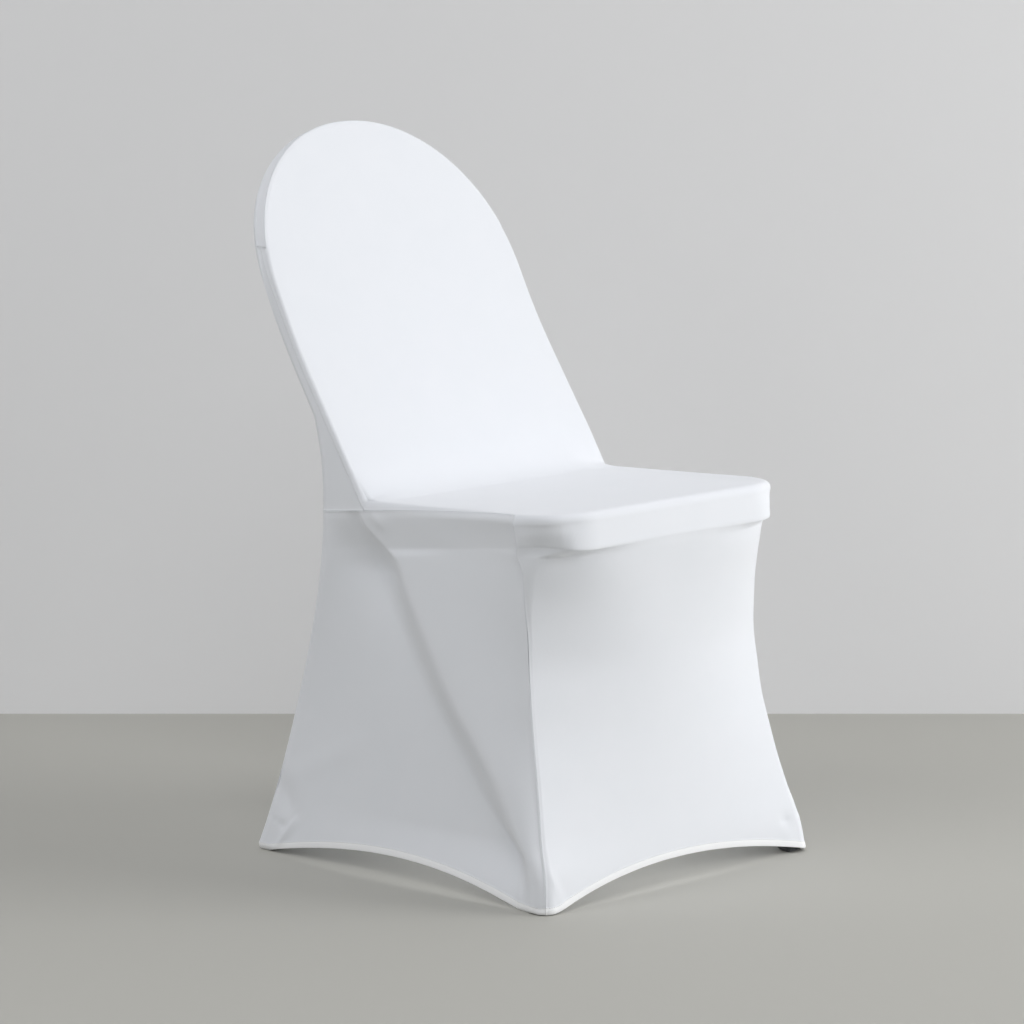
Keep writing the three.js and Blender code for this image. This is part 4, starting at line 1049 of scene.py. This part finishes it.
def cloth_material(name, colour, cloudy_colour, spacing, relief):
    """Knit or weave from two crossed waves on the cloth's own flat map, over a cloudy tint. The hem
    is whiter, and a line of stitches is raised where its mark fades out: mark * (1 - mark)."""
    made, tree, shader = new_material(name, colour, CLOTH_ROUGHNESS)
    cloth_map = node(tree, "ShaderNodeUVMap", dict(uv_map="cloth")).outputs["UV"]
    place = node(tree, "ShaderNodeTexCoord").outputs["Object"]
    wales, courses, stitches = (
        node(tree, "ShaderNodeTexWave", dict(bands_direction=way), Vector=cloth_map,
             Scale=wave_scale(gap), Distortion=0.0).outputs["Fac"]
        for way, gap in (("X", spacing), ("Y", spacing * COURSE_SHARE), ("X", STITCH_MM)))
    knit = node(tree, "ShaderNodeMath", dict(operation="MULTIPLY"), _0=wales, _1=courses).outputs[0]
    clouds = node(tree, "ShaderNodeTexNoise", None, Vector=place, Scale=CLOUDS_IN_A_METRE,
                  Detail=3.0).outputs["Fac"]
    mark = node(tree, "ShaderNodeAttribute", dict(attribute_name="hem")).outputs["Fac"]
    tint = node(tree, "ShaderNodeMix", dict(data_type="RGBA"), Factor=clouds,
                _6=linear(colour), _7=linear(cloudy_colour)).outputs[2]
    tint = node(tree, "ShaderNodeMix", dict(data_type="RGBA"), Factor=mark, _6=tint,
                _7=linear(HEM_COLOUR)).outputs[2]
    tree.links.new(tint, shader.inputs["Base Color"])
    rest = node(tree, "ShaderNodeMath", dict(operation="SUBTRACT"), _0=1.0, _1=mark).outputs[0]
    line = node(tree, "ShaderNodeMath", dict(operation="MULTIPLY"), _0=mark, _1=rest).outputs[0]
    line = node(tree, "ShaderNodeMath", dict(operation="MULTIPLY"), _0=line, _1=stitches).outputs[0]
    fine = node(tree, "ShaderNodeBump", None, Strength=0.5, Distance=relief * MM, Height=knit).outputs[0]
    sewn_line = node(tree, "ShaderNodeBump", None, Strength=0.8, Distance=2.0 * MM, Height=line,
                     Normal=fine).outputs[0]
    tree.links.new(sewn_line, shader.inputs["Normal"])
    for socket, value in SHADER_VALUES.items():
        shader.inputs[socket].default_value = value
    return made


stretch_knit = cloth_material("stretch_knit", "#ECEFF4", "#EFF1F6", WALE_MM, relief=0.12)
pocket_twill = cloth_material("pocket_twill", "#37383A", "#3C3D40", TWILL_MM, relief=0.15)
print("knit drawn", WALE_MM, "mm apart at wave scale", round(wave_scale(WALE_MM)))

# %% [markdown]
# ## Folds
# Stretched cloth is smooth, and what it has are small soft marks: where a foot's pocket ends behind
# it, where a seam is caught, and at the corner of seat and backrest. Each is a bell-shaped trough
# or ridge along a short line, added to the outer face. They could be bump in the material, but then
# neither the outline nor the broad light over a soft fold would change.

# %% A crease
CREASE_ENDS = (0.15, 0.85)


def crease(start, end, depth, width, both=True):
    """A trough along a line, or a ridge if depth is negative: depth * exp(-(distance / width)^2),
    less towards the line's ends. A side's is the same on both sides. A front's is on one. How far
    out the cloth lies there doesn't count, so the line is laid on the panel as seen square on."""
    seen = np.array([0, 1, 1]) if both else np.array([1, 0, 1])
    start, end = np.array(start, float), np.array(end, float)
    way = (end - start) * seen

    def lift(points):
        at = np.where(points[:, :1] * start[0] < 0, points * (-1, 1, 1), points) if both else points
        gap = (at - start) * seen
        t = np.clip(gap @ way / (way @ way), 0, 1)
        distance = np.linalg.norm(gap - t[:, None] * way, axis=1)
        return -depth * bell(distance, width) * np.sin(np.pi * mix(*CREASE_ENDS, t))

    return lift


print("a crease's ends have", round(float(np.sin(np.pi * CREASE_ENDS[0])), 2), "of its depth")

# %% The dent under the lip and the roll under the feet
# The dent's depth, its place below the seat's top, its width, and its start and end round the corner.
DENT, DENT_DOWN, DENT_WIDE, DENT_STARTS, DENT_ENDS = 2.0, 12.0, 8.0, (6.0, 22.0), (50.0, 125.0)
# The roll's radius, how far it reaches from a foot's corner, and that corner's x and y.
FOOT_ROLL = {"front": 5.5, "rear": 9.0}
FOOT_NEAR, FOOT_FAR, FOOT_AT = 20.0, 55.0, (224.0, 240.0)


def lip_dent(points):
    """The cloth sinks in below the seat's edge at its two rounded front corners: a bell-shaped trough
    round the corner, which starts past the side seam and dies out where the front runs straight."""
    over = np.abs(points[:, 0]) - SIDE_X + SEAT_CORNER
    ahead = -points[:, 1] - SEAT_FRONT + SEAT_CORNER
    way_round = SEAT_CORNER * np.arctan2(ahead, np.maximum(over, 0)) + np.maximum(-over, 0)
    down = seat_top(points[:, 1]) - points[:, 2]
    near = ease(way_round, *DENT_STARTS) * (1 - ease(way_round, *DENT_ENDS)) * (ahead > 0)
    return -DENT * bell(down - DENT_DOWN, DENT_WIDE) * near


def foot_roll(z, end):
    """How far the cloth rolls in under a foot, by its height: R - sqrt(R^2 - (R - z)^2)."""
    radius = FOOT_ROLL[end]
    up = np.clip(1 - z / radius, 0, 1)
    return radius * (1 - np.sqrt(1 - up * up))


def under_foot(points):
    """The roll under each foot, which fades out away from the foot's corner."""
    far = np.linalg.norm(np.abs(points[:, :2]) - FOOT_AT, axis=1)
    roll = np.where(points[:, 1] < 0, foot_roll(points[:, 2], "front"), foot_roll(points[:, 2], "rear"))
    return -roll * (1 - ease(far, FOOT_NEAR, FOOT_FAR))


print("the roll reaches", FOOT_ROLL, "mm in at the floor")

# %% The folds, listed one by one
# Each crease has its two ends, its depth, or its height if negative, and its half width.
SIDE_FOLDS = (
    under_foot,
    crease((222, -236, 43), (222, -212, 40), -0.6, 1.3),
    crease((222, -184, 46), (222, -196, 6), -1.3, 5),
    crease((222, -242, 9), (222, -226, 7), 1.2, 2.5),
    crease((224, 224, 42), (222, 203, 35), 0.9, 1.6),
    crease((222, 203, 34), (222, 198, 34), 2.4, 4),
    crease((222, 180, 43), (224, 206, 8), -2.2, 4),
    crease((222, 168, 38), (222, 190, 12), 0.7, 5),
    crease((222, 222, 90), (222, 185, 52), 3.2, 15),
    crease((222, 197, 92), (222, 84, 150), -1.0, 14),
    crease((208, 60, 424), (208, 38, 412), -2.2, 8),
)
FRONT_FOLDS = (
    under_foot,
    lip_dent,
    crease((-213, -236, 46), (-200, -236, 9), -1.2, 4, both=False),
    crease((-202, -234, 40), (-186, -234, 12), 0.8, 4, both=False),
    crease((194, -231, 44), (194, -230, 38), 3.4, 7, both=False),
    crease((194, -232, 30), (194, -234, 12), -0.9, 7, both=False),
)
print("folds:", len(SIDE_FOLDS), "on each side,", len(FRONT_FOLDS), "on the front")

# %% [markdown]
# ## Sewing
# Where two panels meet, their edges are turned in and stitched, which leaves a low ridge with a fine
# groove in it. A tube laid along the seam could stand for it, but here each panel is raised along
# its own edge, so the light runs over the seam from one cloth to the other.

# %% What each panel carries
def sewn(grid, left=False, right=False, top=False, bottom=False):
    """Lift of a grid that is sewn along these borders."""
    lift = np.zeros(grid.shape[:2])
    for axis, backwards, wanted in ((1, False, left), (1, True, right), (0, True, top), (0, False, bottom)):
        lift = lift + (seam_lift(reach(grid, axis, backwards)) if wanted else 0)
    return lift


def hemmed(grid):
    """Lift and mark of a grid whose first row is a hem."""
    distance = reach(grid, 0)
    return hem_lift(distance), hem_mark(distance)


def side_flat(grid):
    """A side's place on the flat cloth: lengths along a row, set off by where the row's middle lies,
    and heights. So the knit's wales run straight up."""
    wide = reach(grid, 1)
    middle = wide.shape[1] // 2
    return np.stack([wide - wide[:, [middle]] + grid[:, [middle], 1], grid[..., 2]], axis=-1)


def fan_flat(grid, rows):
    """A fan's place on the flat cloth: across, and up from where the rows end."""
    top = reach(rows, 0)[-1, rows.shape[1] // 2]
    up = (grid[..., 2] - JOIN_Z) * math.hypot(1, LEAN_HIGH)
    return np.stack([grid[..., 0], top + up], axis=-1)


print("front panel's side edge:", round(float(reach(front_rows, 0)[-1, 0])), "mm from hem to join")

# %% Make the panels
hem_up, hem_on = hemmed(front_rows)
from_middle = np.abs(np.arange(front_rows.shape[1]) - front_rows.shape[1] // 2)
shoulder = from_middle > FACE_COLUMNS + len(TO_STRIP)
front_lift = sewn(front_rows, left=True, right=True) + hem_up
front_lift = front_lift + shoulder * seam_lift(reach(front_rows, 0, True))
front_panel = panel("cover_front", [
    patch(front_rows, front_lift, hem_on),
    patch(front_rays, sewn(front_rays, right=True), flat=fan_flat(front_rays, front_rows)),
], folds=FRONT_FOLDS)
hem_up, hem_on = hemmed(rear_rows)
back_panel = panel("cover_back", [
    patch(rear_rows, sewn(rear_rows, left=True, right=True) + hem_up, hem_on, turned=-1),
    patch(rear_rays, sewn(rear_rays, right=True), flat=fan_flat(rear_rays, rear_rows)),
], folds=(under_foot,))
top_strip = panel("cover_top_strip", [patch(strip_rows, sewn(strip_rows, True, True, True, True))])
hem_up, hem_on = hemmed(lower_side)
lower_lift = sewn(lower_side, left=True, right=True, top=True) + hem_up
sides = {}
for word, side in (("left", -1), ("right", 1)):
    sides["upper", word] = panel(f"cover_side_upper_{word}", [
        patch(upper_side, sewn(upper_side, True, True, True, True), flat=side_flat(upper_side))], side)
    sides["lower", word] = panel(f"cover_side_lower_{word}", [
        patch(lower_side, lower_lift, hem_on, side_flat(lower_side))], side, SIDE_FOLDS)
for piece in (front_panel, back_panel, top_strip, *sides.values()):
    print(piece.name, len(piece.data.polygons), "faces")

# %% [markdown]
# ## Foot pockets
# Inside each corner, a small cup of firmer cloth takes the foot of a leg and holds the cover down.
# Its plan is a four-cornered loop with rounded corners that fits the corner of the skirt. A plain
# box could be bevelled, but its walls have to follow cloth that leans and rolls in.

# %% Plan of a pocket
POCKET_TALL, POCKET_REACH, POCKET_CLEAR = 36.0, 31.0, 1.9
TIP_ROUNDER, CORNER_ROUND, INNER_DRAWN = 1.5, (4.0, 13.0, 4.0), 0.1


def pocket_loop(z, rear):
    """Plan of a pocket of the +X side at these heights. Two sides run along the panels, and each
    corner q is rounded by a curve of second degree between points a little before and after it."""
    row = rear_row(z) if rear else front_row(z)
    out = corner(row)["slope"]
    along_face = np.stack([-np.cos(out), np.sin(out)], axis=-1)
    tip = np.stack([row["x"], row["y"]], axis=-1) - POCKET_CLEAR
    back = tip[:, 1] - POCKET_REACH
    beside = side_x(side_lines(z), back if rear else -back) - POCKET_CLEAR
    one, two = tip + POCKET_REACH * along_face, np.stack([beside, back], axis=-1)
    corners = [tip, two, mix(one + two - tip, tip, INNER_DRAWN), one]
    loop = []
    t = np.linspace(0, 1, 9)[:, None]
    for i, radius in enumerate((row["radius"] + TIP_ROUNDER, *CORNER_ROUND)):
        q, before, after = corners[i], corners[i - 1], corners[(i + 1) % 4]
        a, b = q + radius * unit(before - q), q + radius * unit(after - q)
        loop.append(a * (1 - t) ** 2 + q * 2 * t * (1 - t) + b * t * t)
    return np.concatenate(loop)


front_plan = pocket_loop(np.array([0.0]), False)
print("pocket plan at the floor:", np.round(front_plan.min(axis=0)), "to", np.round(front_plan.max(axis=0)))

# %% Pockets
# Heights of the sole's two faces and of the wall's lowest rows, then how far in the rows are drawn.
SOLE, SOLE_INSIDE, LOW_ROWS = 0.1, 1.4, (0.3, 1, 2, 3.2, 5, 7)
SOLE_INSETS, RIM_INSETS, POCKET_WALL = (13.0, 9.0), (0.5, 1.0), 1.1
DRAWN_BELOW, DRAWN_IN = 8.0, 2.0


def pocket_piece(name, side, rear):
    """A cup: its wall, floor and rim are the plan drawn at set heights and drawn in by set amounts,
    which follow the cloth as it rolls in under the foot."""
    wall = np.concatenate([LOW_ROWS, np.linspace(9, POCKET_TALL - 0.5, 9)])
    inner = np.maximum(wall[::-1], SOLE_INSIDE)
    rim = [POCKET_TALL, POCKET_TALL - 0.2]
    heights = np.concatenate([[SOLE, SOLE], wall, rim, inner, [SOLE_INSIDE]])
    roll = foot_roll(wall, "rear" if rear else "front") + DRAWN_IN * ease(-wall, -DRAWN_BELOW, 0)
    inset = np.concatenate([SOLE_INSETS, roll, RIM_INSETS, POCKET_WALL + roll[::-1], SOLE_INSETS[:1]])
    loops = np.stack([pocket_loop(np.array([z]), rear) for z in heights])
    middle = loops.mean(axis=1, keepdims=True)
    ray = loops - middle
    ray = ray * (1 - inset[:, None, None] / np.linalg.norm(ray, axis=-1, keepdims=True))
    ends = np.zeros((1, *ray.shape[1:]))
    plan = middle[[0, *range(len(heights)), -1]] + np.concatenate([ends, ray, ends])
    z = np.broadcast_to(heights[[0, *range(len(heights)), -1], None, None], (*plan.shape[:2], 1))
    grid = np.concatenate([plan * (side, 1 if rear else -1), z], axis=-1)
    grid = np.concatenate([grid, grid[:, :1]], axis=1)
    flat = np.stack([reach(grid, 1), reach(grid, 0)], axis=-1).reshape(-1, 2)
    points, faces = np.round(grid.reshape(-1, 3), 3), grid_faces(grid, 0)
    uv = flat[faces]
    keep, faces = weld(points, faces)
    points = points[keep]
    volume = (points[faces].mean(axis=1) * face_normals(points, faces)).sum()
    if volume < 0:
        faces, uv = faces[:, ::-1], uv[:, ::-1]
    return add_mesh(name, points, faces, len(faces), uv, np.zeros(len(points)))


pockets = {}
for word, side in (("left", -1), ("right", 1)):
    for end, rear in (("front", False), ("rear", True)):
        pockets[end, word] = pocket_piece(f"pocket_{end}_{word}", side, rear)
print("pockets:", [piece.name for piece in pockets.values()])

# %% [markdown]
# ## Cloth on the pieces
# Each piece gets its cloth, moves with the cover's one body and stands for one solid of the frame.
# A cutter would like to know each panel's size laid flat. It could be unwrapped, but each grid
# already has lengths along its own lines, so the smallest rectangle round those is taken.

# %% Cloth on the pieces, and what each stands for
panels = {"front_panel": front_panel, "back_panel": back_panel, "top_strip": top_strip}
for (part, word), piece in sides.items():
    panels[f"side_{part}_{word}"] = piece
for node_name, piece in panels.items():
    piece.data.materials.append(stretch_knit)
    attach(piece, "root")
    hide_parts(node_name)
for (end, word), piece in pockets.items():
    piece.data.materials.append(pocket_twill)
    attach(piece, "root")
    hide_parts(f"foot_pocket_{end}_{word}")
print("pieces:", len(panels) + len(pockets))

# %% Flat sizes
TURNS = np.radians(np.arange(-45, 46, 3))


def cloth_area(piece):
    """Half of the area of a closed thin sheet, in square metres."""
    areas = np.empty(len(piece.data.polygons))
    piece.data.polygons.foreach_get("area", areas)
    return float(areas.sum() / 2)


def cut_size(piece):
    """Width and length, in metres, of the smallest rectangle round a piece of flat cloth. The cloth
    is turned under it in steps of 3 degrees."""
    uv = np.empty(len(piece.data.loops) * 2)
    piece.data.uv_layers["cloth"].data.foreach_get("uv", uv)
    u, v = uv.reshape(-1, 2).T
    turns = [(math.cos(a), math.sin(a)) for a in TURNS]
    sizes = [(float(np.ptp(u * c + v * s)), float(np.ptp(v * c - u * s))) for c, s in turns]
    return min(sizes, key=lambda size: size[0] * size[1])


for node_name, piece in panels.items():
    width, length = cut_size(piece)
    cloth_area(piece)
    print(f"{piece.name}: {width:.3f} x {length:.3f} m, area {cloth_area(piece):.4f} of {width * length:.4f}")

# %% [markdown]
# ## Floor, wall, light and camera
# A plain floor and wall, a large soft lamp at each side of the chair's front, a third from the -X
# side and a pale sky all round. A small lamp under the seat stands in for daylight through the
# cloth. Cloth that lets light through could give that, but takes far longer to render cleanly.

# %% Floor and wall
# Level directions away from the camera and across its view, and metres along them.
AWAY, BESIDE = Vector((0.716324, 0.697768, 0)), Vector((0.697768, -0.716324, 0))
WALL_AWAY, FLOOR_LONG, HALF_WIDE, WALL_TALL = 0.77, 12.0, 9.0, 6.0


def stage_plane(name, corners, colour, roughness):
    """A plain rectangle of the stage."""
    mesh = bpy.data.meshes.new(name)
    mesh.from_pydata(corners, [], [(0, 1, 2, 3)])
    made = bpy.data.objects.new(name, mesh)
    bpy.context.scene.collection.objects.link(made)
    mesh.materials.append(new_material(name, colour, roughness)[0])


left_foot = AWAY * WALL_AWAY - BESIDE * HALF_WIDE
right_foot = AWAY * WALL_AWAY + BESIDE * HALF_WIDE
nearer, up = AWAY * FLOOR_LONG, Vector((0, 0, WALL_TALL))
stage_plane("studio_floor", [left_foot - nearer, right_foot - nearer, right_foot, left_foot], "#B9B8B2", 0.8)
stage_plane("studio_wall", [left_foot, right_foot, right_foot + up, left_foot + up], "#E9E9EA", 0.9)
print("wall", round((right_foot - left_foot).length, 2), "m wide,", WALL_AWAY, "m behind the cover's origin")

# %% Lamps and sky
SEAT_MIDDLE = (0, 0, 0.4)
# Each lamp's place, its aim, its size in metres and its power in watts.
LAMPS = {
    "key_lamp": ((2.33, -3.32, 1.49), SEAT_MIDDLE, 2.4, 117),
    "fill_lamp": ((-1.85, -1.55, 3.84), SEAT_MIDDLE, 2.4, 43),
    "left_lamp": ((-3.39, 0.6, 2.81), SEAT_MIDDLE, 2.4, 46),
    "glow_lamp": ((0, -0.08, 0.26), (0, -0.08, 0), 0.16, 0.4),
}
SKY_COLOUR, SKY_STRENGTH = (0.92, 0.95, 1.0, 1), 0.155


def soft_lamp(name, place, aim, size, power):
    """A square area lamp turned to its aim."""
    lamp = bpy.data.lights.new(name, "AREA")
    lamp.size, lamp.energy = size, power
    made = bpy.data.objects.new(name, lamp)
    made.location = place
    made.rotation_euler = (Vector(aim) - Vector(place)).to_track_quat("-Z", "Y").to_euler()
    bpy.context.scene.collection.objects.link(made)


for lamp_name, (place, aim, size, power) in LAMPS.items():
    soft_lamp(lamp_name, place, aim, size, power)
    print(lamp_name, round((Vector(place) - Vector(aim)).length, 2), "m from its aim,", power, "W")
world = bpy.data.worlds.new("pale_sky")
world.use_nodes = True
sky = world.node_tree.nodes["Background"]
sky.inputs["Color"].default_value = SKY_COLOUR
sky.inputs["Strength"].default_value = SKY_STRENGTH
bpy.context.scene.world = world
bpy.context.scene.view_settings.view_transform = "Standard"

# %% Camera
SENSOR_MM, LENS_MM = 36.0, 154.614
CAMERA_PLACE, CAMERA_WAY = (-3.70865, -3.6226, 1.23172), (0.707387, 0.689062, -0.157477)
lens = bpy.data.cameras.new("camera")
lens.sensor_width, lens.lens = SENSOR_MM, LENS_MM
camera = bpy.data.objects.new("camera", lens)
camera.location = CAMERA_PLACE
camera.rotation_euler = Vector(CAMERA_WAY).to_track_quat("-Z", "Y").to_euler()
bpy.context.scene.collection.objects.link(camera)
bpy.context.scene.camera = camera
print("camera", round(Vector(CAMERA_PLACE).length, 2), "m from the cover's origin")
